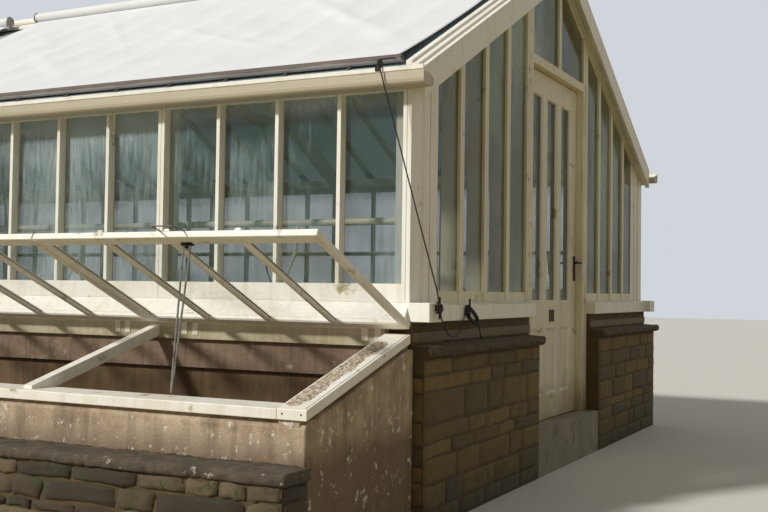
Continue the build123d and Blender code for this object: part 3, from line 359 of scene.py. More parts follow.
def ease(made, width, segments=2):
    """Rounds the edges of more than 40 degrees."""
    rounding = made.modifiers.new("eased_edges", "BEVEL")
    rounding.width = width
    rounding.segments = segments
    rounding.limit_method = "ANGLE"
    rounding.angle_limit = radians(40)


eased = {0.001: ["side_posts"], 0.0012: ["roof_bars"], 0.0015: ["side_sashes"],
         0.002: ["corner_posts", "gable_frames", "door_frame", "door_leaf", "bargeboards", "verge_cappings",
                 "hinge_rail", "ridge_capping", "back_board", "cold_frame_rafters"],
         0.003: ["side_sills", "gable_sills"], 0.008: ["threshold"]}
for width, names in eased.items():
    for name in names:
        weld = nodes[name].modifiers.new("weld", "WELD")
        weld.merge_threshold = 0.00002
        ease(nodes[name], width)


# Glass: thin horticultural panes, greenish, with haze in soft patches and a film of lime
# and dust towards the rails. The roof panes are pale blue instead, a painted reflection of
# the sky.
def pane_glass(name, depth_colour, haze_colour, clear, hazy, sharp=(0.47, 0.74), bands=()):
    """Clear panes as a thin tinted sheet: alpha lets the inside show, haze makes it denser.

    sharp is the range of the noise over which haze comes in, bands are (clean, hazed)
    heights between which a film of lime and dust thickens towards a rail.
    """
    made = bpy.data.materials.new(name)
    made.use_nodes = True
    tree = made.node_tree
    shader = tree.nodes["Principled BSDF"]
    place = add(tree, "TexCoord", {}).outputs["Object"]
    wide = add(tree, "TexNoise", {"Scale": 1.5, "Detail": 2.0, "Roughness": 0.5}, [("Vector", place)])
    down = add(tree, "Mapping", {"Scale": (1, 1, 0.12)}, [("Vector", place)])
    fine = add(tree, "TexNoise", {"Scale": 55.0, "Detail": 5.0, "Roughness": 0.65}, [("Vector", down)])
    both = add(tree, "Mix", {0: 0.28}, [(2, wide), (3, fine)])
    haze = add(tree, "MapRange", {"From Min": sharp[0], "From Max": sharp[1]}, [("Value", both)])
    for clean, hazed in bands:
        height = add(tree, "SeparateXYZ", {}, [("Vector", place)])
        film = add(tree, "MapRange", {"From Min": clean, "From Max": hazed},
                   [("Value", height.outputs["Z"])])
        patchy = add(tree, "Math", {"operation": "MULTIPLY"}, [(0, film), (1, both)])
        haze = add(tree, "Math", {"operation": "MULTIPLY_ADD", "use_clamp": True, 1: 1.7},
                   [(0, patchy), (2, haze)])
    colour = add(tree, "Mix", {"data_type": "RGBA", 6: linear(depth_colour), 7: linear(haze_colour)},
                 [(0, haze)])
    tree.links.new(colour.outputs[2], shader.inputs["Base Color"])
    alpha = add(tree, "MapRange", {"To Min": clear, "To Max": hazy}, [("Value", haze)])
    tree.links.new(alpha.outputs[0], shader.inputs["Alpha"])
    gloss = add(tree, "MapRange", {"To Min": 0.04, "To Max": 0.28}, [("Value", haze)])
    tree.links.new(gloss.outputs[0], shader.inputs["Roughness"])
    wave = add(tree, "Bump", {"Strength": 0.25, "Distance": 0.002}, [("Height", wide)])
    tree.links.new(wave.outputs[0], shader.inputs["Normal"])
    return made


dress(["side_glass"], pane_glass("side_pane_glass", "#3F5F58", "#B4C6C6", 0.24, 0.48, (0.44, 0.62),
                                 [(1.72, 1.80), (1.02, 0.95)]))
dress(["gable_glass", "door_glass"], pane_glass("gable_pane_glass", "#33502D", "#9DAA84", 0.28, 0.54,
                                                (0.46, 0.66), [(1.06, 0.94)]))
# roof panes: pale blue and nearly opaque, a painted reflection of the sky
dress(["roof_glass"], pane_glass("roof_pane_glass_with_painted_sky_reflection", "#9FB3C0", "#DCE4E9", 0.72, 0.90))

# Masonry: brown coursed rubble under the gables and at the back, each stone its own flat
# face standing 3 to 7 mm out of the dark mortar, and 6 to 15 mm in the rougher ledge. The
# wall behind the cold frame is plastered.
mortar = weathered("dark_lime_mortar", ("#3E331D", "#554628", "#6E5C39"),
                   0.12, 0.004, depth=0.003, rough=(0.85, 0.95), growth=("#3A3F20", 0.14, 0.1))
dress(["back_footwall", "door_gable_footwalls", "far_gable_footwall", "cold_frame_ledge"], mortar)
plaster = weathered("brown_inner_plaster", ("#54412B", "#70583B", "#8C7352"),
                    0.16, 0.005, depth=0.002, rough=(0.8, 0.95), streaks=("#3C2E1D", 0.05, 0.6))
dress(["front_footwall"], plaster)
# split sandstone: each stone of its own brown, its dressed face rough and lightly mossed
stone = weathered("brown_rubble_stone", [(0.15, "#342A14"), (0.32, "#4B3E20"), (0.5, "#604F2B"),
                                         (0.66, "#77643C"), (0.85, "#928054")],
                  0.05, 0.004, (0.5, 0.5, 1.4), depth=0.005, rough=(0.8, 0.95),
                  growth=("#474427", 0.09, 0.08), tone="tone", foot=("#33301B", 0.0, 0.25))
ledge_stone = weathered("mossy_ledge_stone", [(0.15, "#241D13"), (0.35, "#3B3123"), (0.55, "#554936"),
                                              (0.85, "#7D6F55")],
                        0.05, 0.004, (0.5, 0.5, 1.4), depth=0.006, rough=(0.85, 0.98),
                        growth=("#3D4521", 0.07, 0.25), tone="tone")


def repeated(faces, times, size):
    """The faces of one sub-part for several, whose points follow each other by size."""
    return [[corner + size * number for corner in face] for number in range(times) for face in faces]


def lay_courses(width, height, course, length, seed):
    """Edges (u0, u1, v0, v1) of stones laid in courses over a face, sizes in metres."""
    dice = np.random.default_rng(seed)
    count = max(1, round(height / np.mean(course)))
    rises = dice.uniform(*course, count)
    levels = np.concatenate([[0], np.cumsum(rises)]) * height / rises.sum()
    laid = []
    for low_edge, high_edge in zip(levels[:-1], levels[1:]):
        number = max(1, round(width / np.mean(length)))
        runs = dice.uniform(*length, number)
        ends = np.concatenate([[0], np.cumsum(runs)]) * width / runs.sum()
        laid += [(a, b, low_edge, high_edge) for a, b in zip(ends[:-1], ends[1:])]
    return np.array(laid)


def stone_faces(name, faces, course, length, relief, joint, finish, seed):
    """Stones over several flat faces, each given by its origin, two edges' vectors and its normal.

    A stone is h(s, t) = relief * ((1 - s^12)(1 - t^12))^0.5, s and t from -1 to 1, times 0.55
    to 1 by stone, with waves of a fifth and roughness of 1 mm. Its outline waves by up to 0.8
    of a joint, and its rim is sunk 5 mm into the wall. The attribute tone is one number a
    stone.
    """
    dice = np.random.default_rng(seed)
    steps = np.array([-1, -0.96, -0.6, -0.2, 0.2, 0.6, 0.96, 1])
    s, t = np.meshgrid(steps, steps, indexing="ij")
    all_points = []
    tones = []
    for number, (origin, along, up, out) in enumerate(faces):
        origin, along, up, out = (np.array(v, float) for v in (origin, along, up, out))
        width, height = np.linalg.norm(along), np.linalg.norm(up)
        laid = lay_courses(width, height, course, length, seed + 7 * number)
        many = len(laid)
        middle_u, half_u = (laid[:, 0] + laid[:, 1]) / 2, (laid[:, 1] - laid[:, 0]) / 2 - joint / 2
        middle_v, half_v = (laid[:, 2] + laid[:, 3]) / 2, (laid[:, 3] - laid[:, 2]) / 2 - joint / 2
        drawn_s = s * (1 - 0.03 * t ** 6)
        drawn_t = t * (1 - 0.04 * s ** 6)
        phase = dice.uniform(0, 6.28, (4, many, 1, 1))
        skew = dice.uniform(-0.8 * joint, 0.8 * joint, (2, many, 1, 1))
        u = middle_u[:, None, None] + half_u[:, None, None] * drawn_s + skew[0] * np.sin(2 * t + phase[0])
        v = middle_v[:, None, None] + half_v[:, None, None] * drawn_t + skew[1] * np.sin(2.5 * s + phase[1])
        u = u + dice.normal(0, 0.28 * joint, u.shape)
        v = v + dice.normal(0, 0.28 * joint, v.shape)
        dome = np.sqrt(np.clip((1 - s ** 12) * (1 - t ** 12), 0, 1))
        rise = relief * dice.uniform(0.55, 1.0, (many, 1, 1))
        h = rise * dome * (1 + 0.20 * np.sin(2.4 * s + phase[2]) * np.cos(2.1 * t + phase[3]))
        h = h + dice.normal(0, 0.0011, h.shape) * dome
        h = np.where(dome < 1e-6, -0.005, h)
        points = origin + u[..., None] * along / width + v[..., None] * up / height + h[..., None] * out
        all_points.append(points.reshape(-1, 3))
        tones.append(np.repeat(dice.uniform(0.12, 0.88, many), s.size))
    points = np.concatenate(all_points)
    stones = repeated(lattice(len(steps), len(steps)), len(points) // s.size, s.size)
    made = piece(name, points, stones, finish, "footwall_stone", closed=False)
    made.data.attributes.new("tone", "FLOAT", "POINT").data.foreach_set("value", np.concatenate(tones))
    return made


# Each face's vectors are given so that their cross product points out of the wall.
east, west, back, front = (1, 0, 0), (-1, 0, 0), (0, 1, 0), (0, -1, 0)
lower, lower_rise, upper, upper_rise = 0.005, (0, 0, 0.70), 0.754, (0, 0, 0.056)
gable_lower = [((3.97, -1.575, lower), (0, 1.47, 0), lower_rise, east),
               ((3.97, 1.06, lower), (0, 1.53, 0), lower_rise, east),
               ((3.97, 2.5875, lower), (-7.94, 0, 0), lower_rise, back),
               ((-3.97, 2.59, lower), (0, -4.165, 0), lower_rise, west),
               ((3.735, -1.5725, lower), (0.235, 0, 0), lower_rise, front)]
stone_faces("footwall_stones", gable_lower, (0.05, 0.125), (0.14, 0.46), 0.006, 0.005, stone, 11)
gable_upper = [((3.91, -1.575, upper), (0, 1.47, 0), upper_rise, east),
               ((3.91, 1.06, upper), (0, 1.47, 0), upper_rise, east),
               ((3.91, 2.5275, upper), (-7.82, 0, 0), upper_rise, back),
               ((-3.91, 2.53, upper), (0, -4.105, 0), upper_rise, west)]
stone_faces("upper_course_stones", gable_upper, (0.05, 0.06), (0.14, 0.40), 0.004, 0.004, stone, 23)
ledge, ledge_rise = 0.004, (0, 0, 0.338)
ledge_faces = [((-3.94, -2.5965, ledge), (7.88, 0, 0), ledge_rise, front),
               ((3.94, -2.5965, ledge), (0, 0.16, 0), ledge_rise, east),
               ((-3.94, -2.4365, ledge), (0, -0.16, 0), ledge_rise, west)]
stone_faces("ledge_rubble", ledge_faces, (0.035, 0.095), (0.10, 0.36), 0.013, 0.008, ledge_stone, 37)


# Wall plates: brown stained boards let in under the sills on both sides of the door, planed
# square and cut to length, and the grey back board of the cold frame.
def trims(name, section, lines, finish, slot, body="house", smooth=False):
    """One closed prism for each line (start, end, side vector), its ends capped.

    The section's points are (side, rise), and rise is the cross product of run and side.
    """
    section = np.array(section, float)
    lines = np.array(lines, float)
    run = lines[:, 1] - lines[:, 0]
    run /= np.linalg.norm(run, axis=1)[:, None]
    side = lines[:, 2]
    rise = np.cross(run, side)
    shape = section[:, 0, None] * side[:, None, :] + section[:, 1, None] * rise[:, None, :]
    points = np.stack([lines[:, 0][:, None] + shape, lines[:, 1][:, None] + shape], 1)
    prism = lattice(2, len(section), ring=True, capped=True)
    return piece(name, points, repeated(prism, len(lines), 2 * len(section)), finish, slot, body, smooth)


brown_board = weathered("brown_stained_board", [(0.3, "#4A3D21"), (0.5, "#63522F"), (0.75, "#806D44")],
                        0.3, 0.003, along_y, 0.0006, (0.6, 0.8), ("#A48A6A", 0.1, 0.0))
wall_plate = [(0, 0), (0.007, 0), (0.007, 0.042), (0, 0.042)]
board_x, board_z = 3.909, 0.812
trims("wall_plates", wall_plate, [((board_x, left, board_z), (board_x, right, board_z), (1, 0, 0))
                                  for left, right in ((-1.5725, -0.1035), (1.0585, 2.5275))],
      brown_board, "bare_timber")
grey_board = weathered("weathered_back_board", [(0.3, "#664F3B"), (0.5, "#88705B"), (0.75, "#A99179")],
                       0.25, 0.003, along_x, 0.0008, (0.7, 0.9), ("#B9AA98", 0.12, 0.05),
                       streaks=("#4A3725", 0.03, 0.5))
dress(["back_board"], grey_board)

# Worn stone: the door step and the mossy coping; the coping is part of the walls' solids and
# gets a lipped skin of moss cushions along its nose.
moss = weathered("mossy_coping", [(0.25, "#2A2216"), (0.45, "#413522"), (0.65, "#584A31"),
                                  (0.85, "#786849")],
                 0.05, 0.006, depth=0.004, rough=(0.85, 1.0), growth=("#4C5226", 0.04, 0.06))
step = weathered("worn_step_stone", [(0.3, "#6F6858"), (0.5, "#8C8573"), (0.75, "#A8A18F")],
                 0.25, 0.004, depth=0.002, rough=(0.7, 0.9), growth=("#5E5B40", 0.12, 0.2))
dress(["threshold"], step)


def coping_skin(name, corner_points, radius, seed):
    """Rough skin over the coping's round nose along a level path, mitred at its corners.

    r(a, l) = radius + 2.2 mm + five waves of 1.9 mm and noise of 0.6 mm, a from -92 to 172 degrees.
    """
    dice = np.random.default_rng(seed)
    path = np.array(corner_points, float)
    steps = np.linalg.norm(np.diff(path[:, :2], axis=0), axis=1)
    length = np.concatenate([[0], np.cumsum(steps)])
    stations = np.unique(np.concatenate([np.arange(0, length[-1], 0.012), length]))
    centre = np.stack([np.interp(stations, length, path[:, i]) for i in range(3)], 1)
    heads = np.diff(path[:, :2], axis=0) / steps[:, None]
    normals = np.stack([heads[:, 1], -heads[:, 0]], 1)
    which = np.clip(np.searchsorted(length, stations, side="right") - 1, 0, len(normals) - 1)
    out = normals[which]
    for number in range(1, len(length) - 1):
        at = np.isclose(stations, length[number])
        out[at] = normals[number - 1] + normals[number]
    angles = np.radians(np.linspace(-92, 172, 18))
    waves = sum(dice.uniform(0.2, 0.8) * np.sin(stations[:, None] * f + angles * g + dice.uniform(0, 6))
                for f, g in ((37, 2), (83, 3), (151, 1), (19, 4), (229, 5)))
    r = radius + 0.0022 + 0.0019 * waves + dice.normal(0, 0.0006, waves.shape)
    flat = r * np.cos(angles)
    points = np.concatenate([centre[:, None, :2] + flat[..., None] * out[:, None, :],
                             (centre[:, 2, None] + r * np.sin(angles))[..., None]], 2)
    return piece(name, points, lattice(len(stations), len(angles)), moss, "footwall_stone", closed=False)


nose, overhang, nose_z = 0.021, 0.034, 0.731
nose_x, nose_back = 3.97 + overhang - nose, 2.5875 + overhang - nose
coping_skin("coping_moss_left", [(nose_x, -1.5725, nose_z), (nose_x, -0.1025, nose_z)], nose, 3)
coping_skin("coping_moss_round", [(nose_x, 1.0575, nose_z), (nose_x, nose_back, nose_z),
                                  (-nose_x, nose_back, nose_z), (-nose_x, -1.5725, nose_z)], nose, 5)

# Cold frame: walls under a tan lime render, stained, with white lichen, and dark flags with
# broken edges bedded along the ledge.
render_coat = weathered("tan_lime_render", [(0.24, "#705E4A"), (0.40, "#9D8870"), (0.56, "#C2AE93"),
                                            (0.8, "#DED0BA")],
                        0.13, 0.005, depth=0.004, rough=(0.8, 0.95), growth=("#E0DACE", 0.045, 0.13),
                        streaks=("#5A4934", 0.06, 0.55), foot=("#6B5640", 0.37, 0.47))
front_wall = [(-2.4375, 0), (-2.2975, 0), (-2.2975, 0.539), (-2.410, 0.539), (-2.4375, 0.513)]
end_wall = [(-2.436, 0), (-1.592, 0), (-1.592, 0.7705), (-1.64, 0.7705), (-2.436, 0.542)]
end_face = [(y, z - 0.026 * (z > 0)) for y, z in end_wall]


def lengthwise(name, section, spans, finish, slot, node, easing, segments):
    """Trims of a (y, z) section over (left, right) spans of X, with eased edges, in a node's place."""
    made = trims(name, section, [((left, 0, 0), (right, 0, 0), (0, 1, 0)) for left, right in spans],
                 finish, slot)
    ease(made, easing, segments)
    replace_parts(made, node)


for name, section, spans in (("rendered_front_wall", front_wall, [(-3.9285, 3.9285)]),
                             ("rendered_end_walls", end_wall, [(3.82, 3.906), (-3.906, -3.82)]),
                             ("rendered_end_faces", end_face, [(3.9055, 3.93), (-3.93, -3.9055)])):
    lengthwise(name, section, spans, render_coat, "bed_masonry", "cold_frame_walls", 0.005, 3)
flags = weathered("dark_ledge_flags", [(0.25, "#2D261D"), (0.45, "#4A4034"), (0.65, "#665B4B"),
                                       (0.85, "#8C8272")],
                  0.08, 0.005, depth=0.006, rough=(0.8, 0.95), growth=("#B5AFA2", 0.035, 0.03))


def rough_flags(name, x0, x1, seed):
    """A ring round the flags' section at every 12 mm of x, moved out by d(x, v).

    d = a height and a reach of each flag's own, slow waves of 1.2 mm, a notch 6 to 8 mm deep
    at the joints, and up to 14 mm broken off the front arris.
    """
    wall_y, nose_y, top_level, bed_level = -2.4375, -2.6125, 0.384, 0.3455
    dice = np.random.default_rng(seed)
    ends = [x0]
    while ends[-1] < x1 - 0.8:
        ends.append(ends[-1] + dice.uniform(0.38, 0.75))
    ends = np.array(ends + [x1])
    x = np.linspace(x0, x1, int((x1 - x0) / 0.012))[:, None]
    flag = np.clip(np.searchsorted(ends, x, side="right") - 1, 0, len(ends) - 2)
    gap = np.abs(x - ends[np.argmin(np.abs(x - ends[None]), axis=1)][:, None])
    inside = (np.abs(x - x0) > 0.02) & (np.abs(x - x1) > 0.02)
    notch = np.exp(-(gap / 0.007) ** 2) * inside
    top = np.linspace(0, 1, 13)[None, :-1]
    face = np.linspace(0, 1, 6)[None, :-1]
    under = np.linspace(0, 1, 7)[None]
    wave = sum(dice.uniform(0.3, 1) * np.sin(x * f + top * g + dice.uniform(0, 6))
               for f, g in ((13, 3), (29, 5), (61, 9), (97, 14), (171, 6)))
    height = dice.uniform(-0.003, 0.003, len(ends))[flag]
    reach = dice.uniform(-0.007, 0.005, len(ends))[flag]
    chips = sum(np.clip(np.sin(x * f + dice.uniform(0, 6)) - c, 0, 1)
                for f, c in ((9, 0.45), (23, 0.5), (57, 0.6)))
    nose = nose_y - reach + 0.010 * chips + 0.008 * notch
    top_z = top_level + height + 0.0012 * wave - 0.006 * notch - 0.033 * chips * np.clip(top - 0.75, 0, 1)
    edge = top_z[:, -1:] - 0.003
    face_y = nose - 0.004 * np.sin(np.pi * face) + 0.0012 * wave[:, :5]
    face_z = edge + (bed_level + 0.0015 - edge) * face
    under_y = nose + (wall_y - nose) * under
    y = np.concatenate([wall_y + (nose - wall_y) * top, face_y, under_y], 1)
    z = np.concatenate([top_z, face_z, np.full_like(under_y, bed_level)], 1)
    points = np.stack([np.broadcast_to(x, y.shape), y, z], -1)
    return piece(name, points, lattice(*y.shape, ring=True, capped=True), flags, "ledge_stone")


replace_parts(rough_flags("rough_ledge_flags", -3.956, 3.956, 8), "ledge_flags")

# Gutters: iron, with a flat face under a rolled lip and a plate closing each end, painted as
# the timber is, stained in streaks, and beige on the face below the lip with painted shade.
gutter_face = weathered("cream_enamel_with_painted_shade_below_the_lip", cream_tones, 0.3, 0.004, (0.05, 1, 1),
                        0.0003, (0.4, 0.6), streaks=("#B0A37E", 0.05, 0.25), foot=("#B3A88D", 1.879, 1.884))
gutter_wall = [(0, 0.009), (0.009, 0.009), (0.009, 0), (0.080, 0), (0.090, 0.003), (0.096, 0.010),
               (0.099, 0.022), (0.100, 0.054), (0.105, 0.058), (0.105, 0.076), (0.094, 0.076),
               (0.094, 0.064), (0.092, 0.056), (0.091, 0.026), (0.086, 0.013), (0.078, 0.008),
               (0.016, 0.008), (0.016, 0.036), (0, 0.036)]
gutter_end = [(0.002, 0.011), (0.011, 0.002), (0.079, 0.002), (0.089, 0.005), (0.094, 0.011), (0.097, 0.023),
              (0.098, 0.055), (0.103, 0.060), (0.103, 0.074), (0.002, 0.038)]
half_run, inset, plate = np.array([3.99, 0, 0]), np.array([3.988, 0, 0]), np.array([0.006, 0, 0])
runs = []
ends = []
for middle, way in ((np.array([0, -1.5525, 1.828]), -1), (np.array([0, 2.5075, 1.828]), 1)):
    out = (0, way, 0)
    runs.append((middle - way * half_run, middle + way * half_run, out))
    ends += [(middle - way * inset, middle - way * (inset - plate), out),
             (middle + way * (inset - plate), middle + way * inset, out)]
gutter_runs = trims("gutter_runs", gutter_wall, runs, gutter_face, "painted_iron")
ease(gutter_runs, 0.0012)
gutter_ends = trims("gutter_ends", gutter_end, ends, gutter_face, "painted_iron")
for made in (gutter_runs, gutter_ends):
    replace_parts(made, "gutters")

# Ironmongery: hinges and ventilator gear painted with the woodwork, a black iron lock, lever,
# pulley and cleats that rust through, and galvanised steel stays and brackets gone dull.
iron_paint = weathered("cream_gutter_paint", ("#D3CBAE", "#E6E0C9", "#F0ECDD"),
                       0.3, 0.003, (0.1, 1, 1), 0.0003, (0.4, 0.6), ("#A89E78", 0.12, 0.0))
dress(["ventilator_gear", "leaf_hinges", "frame_hinges", "lid_hinges"], iron_paint)
rusty = weathered("rusty_black_iron", ("#14100D", "#2A1F18", "#4A3424"),
                  0.02, 0.0015, depth=0.0004, rough=(0.5, 0.8), growth=("#5B3A22", 0.02, 0.25), metallic=0.5)
dress(["door_vent", "door_lock", "door_lever", "cord_pulley", "cord_cleats"], rusty)
steel = weathered("dull_galvanised_steel", ("#77776F", "#96968E", "#B3B3AB"),
                  0.03, 0.002, depth=0.0002, rough=(0.45, 0.65), growth=("#6E6454", 0.05, 0.2), metallic=0.8)
dress(["stay_1", "stay_2", "blind_brackets"], steel)

# Lids: horticultural lights, 26 mm thick, of moulded stiles and bars with the panes bedded
# on putty from above, hung on two cranked straps, each with a lifting loop at its front.
hinge_y, hinge_z = -1.627, 0.860128
lid_out, lid_back, front_rail, back_rail, stile, bar = 0.8338, 0.014, 0.062, 0.048, 0.030, 0.026
stile_section = [(0.0015, -0.040), (0.024, -0.040), (0.030, -0.034), (0.030, -0.021), (0.022, -0.014),
                 (0.0015, -0.014), (0, -0.0155), (0, -0.0385)]
bar_section = [(-0.008, -0.040), (0.008, -0.040), (0.013, -0.034), (0.013, -0.021), (0.0055, -0.014),
               (-0.0055, -0.014), (-0.013, -0.021), (-0.013, -0.034)]
front_section = [(0.002, -0.040), (0.010, -0.040), (0.012, -0.037), (0.015, -0.037), (0.017, -0.040),
                 (0.056, -0.040), (0.062, -0.034), (0.062, -0.021), (0.054, -0.014), (0.002, -0.014),
                 (0, -0.016), (0, -0.038)]
back_section = [(0, -0.040), (0.042, -0.040), (0.048, -0.034), (0.048, -0.021), (0.040, -0.014), (0, -0.014)]
nose_section = [(-0.013, -0.0145), (0.013, -0.0145), (0.012, -0.006), (0.007, -0.003), (-0.007, -0.003),
                (-0.012, -0.006)]
putty = 0.0021
putty_and_shade_section = [(-putty, -0.0254), (putty, -0.0254), (putty, -0.0242), (-putty, -0.0242)]
strap_section = [(-0.003, 0.003), (-0.012, 0.001), (-0.021, -0.011), (-0.048, -0.011), (-0.048, -0.014),
                 (-0.019, -0.014), (-0.009, -0.003), (0, -0.003)]
turn = np.linspace(0, 2 * np.pi, 15)[:-1]
circle = np.stack([np.cos(turn), np.sin(turn)], 1)
eye_plate_section = [(-0.011, -0.0435), (0.011, -0.0435), (0.013, -0.040), (-0.013, -0.040)]
# galvanised rod whose zinc has dulled to brown, and dark lines of grimy putty and painted
# shade in the gaps beside the lid bars and at the curb ends
rusty_steel = weathered("galvanised_rod_gone_dull", ("#4C463B", "#6E675A", "#938C7D"),
                        0.02, 0.002, depth=0.0002, rough=(0.5, 0.7), metallic=0.6)
grime_and_gap_shade = weathered("grimy_putty_and_painted_gap_shade", ("#241E12", "#3F3724", "#6B6142"),
                       0.05, 0.002, depth=0.0004, rough=(0.7, 0.9))
clear_light = pane_glass("cold_frame_light_glass", "#6E7F76", "#B4B9A4", 0.07, 0.30)


def sheets(name, lines, up, thick, foot, finish, body):
    """Flat closed panes: each a line, its full width vector, and a thickness measured up from -foot."""
    lines = np.array(lines, float)
    start, end, half = lines[:, 0] - foot * up, lines[:, 1] - foot * up, lines[:, 2] / 2
    lower = np.stack([start - half, start + half, end + half, end - half], 1)
    points = np.concatenate([lower, lower + thick * up], 1)
    faces = repeated(lattice(2, 4, ring=True, capped=True), len(lines), 8)
    return piece(name, points, faces, finish, "clear_glass", body, smooth=False)


def bent_rod(corners, radius, sides):
    """Closed rod: p(u, v) = path(u) + radius (n cos v + b sin v), n and b square to the path's run.

    The path is the corners' polygon with points 15% in from both ends of its sides, its
    corners cut twice to quarter points.
    """
    path = np.asarray(corners, float)
    after = np.roll(path, -1, 0)
    path = np.stack([path, 0.85 * path + 0.15 * after, 0.15 * path + 0.85 * after], 1).reshape(-1, 3)
    for _ in range(2):
        after = np.roll(path, -1, 0)
        path = np.stack([0.75 * path + 0.25 * after, 0.25 * path + 0.75 * after], 1).reshape(-1, 3)
    run = np.roll(path, -1, 0) - np.roll(path, 1, 0)
    run /= np.linalg.norm(run, axis=1)[:, None]
    first = np.cross(run, (0.31, 0.52, 0.79))
    first /= np.linalg.norm(first, axis=1)[:, None]
    v = np.linspace(0, 2 * np.pi, sides + 1)[:-1, None]
    ring = np.cos(v) * first[:, None] + np.sin(v) * np.cross(run, first)[:, None]
    return path[:, None] + radius * ring, lattice(len(path), sides, ring=True, loop=True)


def lights(name, spans, angle, body, node, glass_node, raised):
    """Timber, panes, putty lines and straps of lids over (left, right) spans, leaning at an angle.

    A raised one also has the stay's eye, r = 6.1 + 1.9 cos w by 7 sin w mm along it.
    """
    lean = radians(angle)
    out = np.array([0, -np.cos(lean), np.sin(lean)])
    up = np.array([0, np.sin(lean), np.cos(lean)])
    along = np.array([1.0, 0, 0])
    inner_back, inner_front = lid_back + back_rail, lid_out - front_rail

    def at(x, reach, rise=0.0):
        return np.array([x, hinge_y, hinge_z]) + reach * out + rise * up

    fronts, backs, stiles, bars, noses, panes, lines, straps = ([] for _ in range(8))
    for left, right in spans:
        fronts.append((at(left, lid_out), at(right, lid_out), -out))
        backs.append((at(right, lid_back), at(left, lid_back), out))
        stiles += [(at(left, inner_back), at(left, inner_front), along),
                   (at(right, inner_front), at(right, inner_back), -along)]
        pane = (right - left - 2 * stile - 3 * bar) / 4
        for number in range(4):
            start = left + stile + number * (pane + bar)
            middle = start + pane / 2
            panes.append((at(middle, inner_back - 0.002), at(middle, inner_front + 0.002),
                          along * (pane + 0.004)))
            lines += [(at(edge, inner_back), at(edge, inner_front), along)
                      for edge in (start + putty, start + pane - putty)]
            if number:
                bar_x = start - bar / 2
                bars.append((at(bar_x, inner_back), at(bar_x, inner_front), along))
                noses.append((at(bar_x, lid_out - 0.040), at(bar_x, lid_out - 0.003), along))
        straps += [(at(x - 0.0147, 0), at(x + 0.0147, 0), -out) for x in (left + 0.190, right - 0.190)]
    timber = [(stile_section, stiles, cream_across), (bar_section, bars, cream_across),
              (front_section, fronts, cream_along), (back_section, backs, cream_along)]
    for number, (section, members, paint) in enumerate(timber):
        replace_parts(trims(f"{name}_timber_{number}", section, members, paint, "cream_paint", body), node)
    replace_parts(sheets(f"{name}_panes", panes, up, 0.003, 0.024, clear_light, body), glass_node)
    trims(f"{name}_bar_noses", nose_section, noses, cream_across, "cream_paint", body)
    # dark lines beside each bar: grimy putty and painted shade of the gap between bar and pane
    trims(f"{name}_putty_and_gap_shade_lines", putty_and_shade_section, lines, grime_and_gap_shade, "cream_paint", body)
    trims(f"{name}_straps", strap_section, straps, iron_paint, "painted_iron", body)
    trims(f"{name}_barrels", 0.005 * circle, straps, iron_paint, "painted_iron", body, smooth=True)
    for number, (left, right) in enumerate(spans):
        middle = (left + right) / 2 + 0.030
        foot, bend = (lid_out - 0.004, -0.0145), (lid_out + 0.062, -0.026)
        points, faces = bent_rod([at(middle + 0.056, *foot), at(middle + 0.050, *bend),
                                  at(middle - 0.044, *bend), at(middle - 0.054, *foot)], 0.0026, 8)
        piece(f"{name}_lifting_loop_{number}", points, faces, rusty_steel, "grey_steel", body)
    if not raised:
        return
    left, right = spans[0]
    stay_x, stay_reach = (left + right) / 2 + 0.074, 0.780
    v, w = np.meshgrid(np.linspace(0, 2 * np.pi, 25)[:-1], np.linspace(0, 2 * np.pi, 11)[:-1], indexing="ij")
    around = 0.0061 + 0.0019 * np.cos(w)
    ring = (at(stay_x, stay_reach, -0.050) + (0.007 * np.sin(w))[..., None] * along
            + (around * np.cos(v))[..., None] * out + (around * np.sin(v))[..., None] * up)
    piece(f"{name}_stay_eye", ring, lattice(24, 10, ring=True, loop=True), rusty, "black_iron", body)
    ends = at(stay_x - 0.024, stay_reach), at(stay_x + 0.024, stay_reach)
    trims(f"{name}_stay_plate", eye_plate_section, [(*ends, -out)], rusty, "black_iron", body)


frame_end, pitch, half_gap = 3.94, 7.88 / 6, 0.005
raised_angle, shut_angle = 24.5, 16.0
lid_spans = [(frame_end - pitch * (n + 1) + half_gap * (n < 5), frame_end - pitch * n - half_gap * (n > 0))
             for n in range(6)]
lights("near_lid", lid_spans[:1], raised_angle, "lid_1_body", "lid_1", "lid_1_glass", True)
lights("second_lid", lid_spans[1:2], raised_angle, "lid_2_body", "lid_2", "lid_2_glass", True)
lights("closed_lids", lid_spans[2:], -shut_angle, "house", "shut_lids", "shut_lid_glass", False)

# Curb: a front board butted between two sloping end boards, all 38 mm thick and screwed at
# the corners, with a dark joint of grime and painted shade beside the ends' outer bead, and
# grit on their inner half.
fall = np.tan(radians(shut_angle))
curb_front, curb_back, under, top = -2.4475, -1.64, 0.539, 0.577
rise = (curb_back - curb_front) * fall
front_board = [(curb_front, under), (-2.2825, under), (-2.2825, top), (curb_front, top)]
end_board = [(curb_front, under), (curb_back, under + rise), (curb_back, top + rise), (curb_front, top)]
for name, section, spans, paint in (
        ("front_curb_board", front_board, [(-3.8188, 3.8188)], cream_along),
        ("end_curb_boards", end_board, [(3.82, 3.94), (-3.94, -3.82)], cream_across)):
    lengthwise(name, section, spans, paint, "cream_paint", "cold_frame_curb", 0.003, 2)
trims("curb_screws", 0.0036 * circle, [((x, -2.4479, 0.560), (x, -2.4465, 0.560), (1, 0, 0))
                                       for x in (3.918, 3.842, -3.842, -3.918)], rusty, "black_iron")
grit_mix = weathered("blown_grit_and_leaf_crumbs", [(0.3, "#3A2C1D"), (0.42, "#7A634B"), (0.52, "#C4B5A0"),
                                                    (0.66, "#ECE6DA")],
                     0.014, 0.005, depth=0.002, rough=(0.85, 0.98))


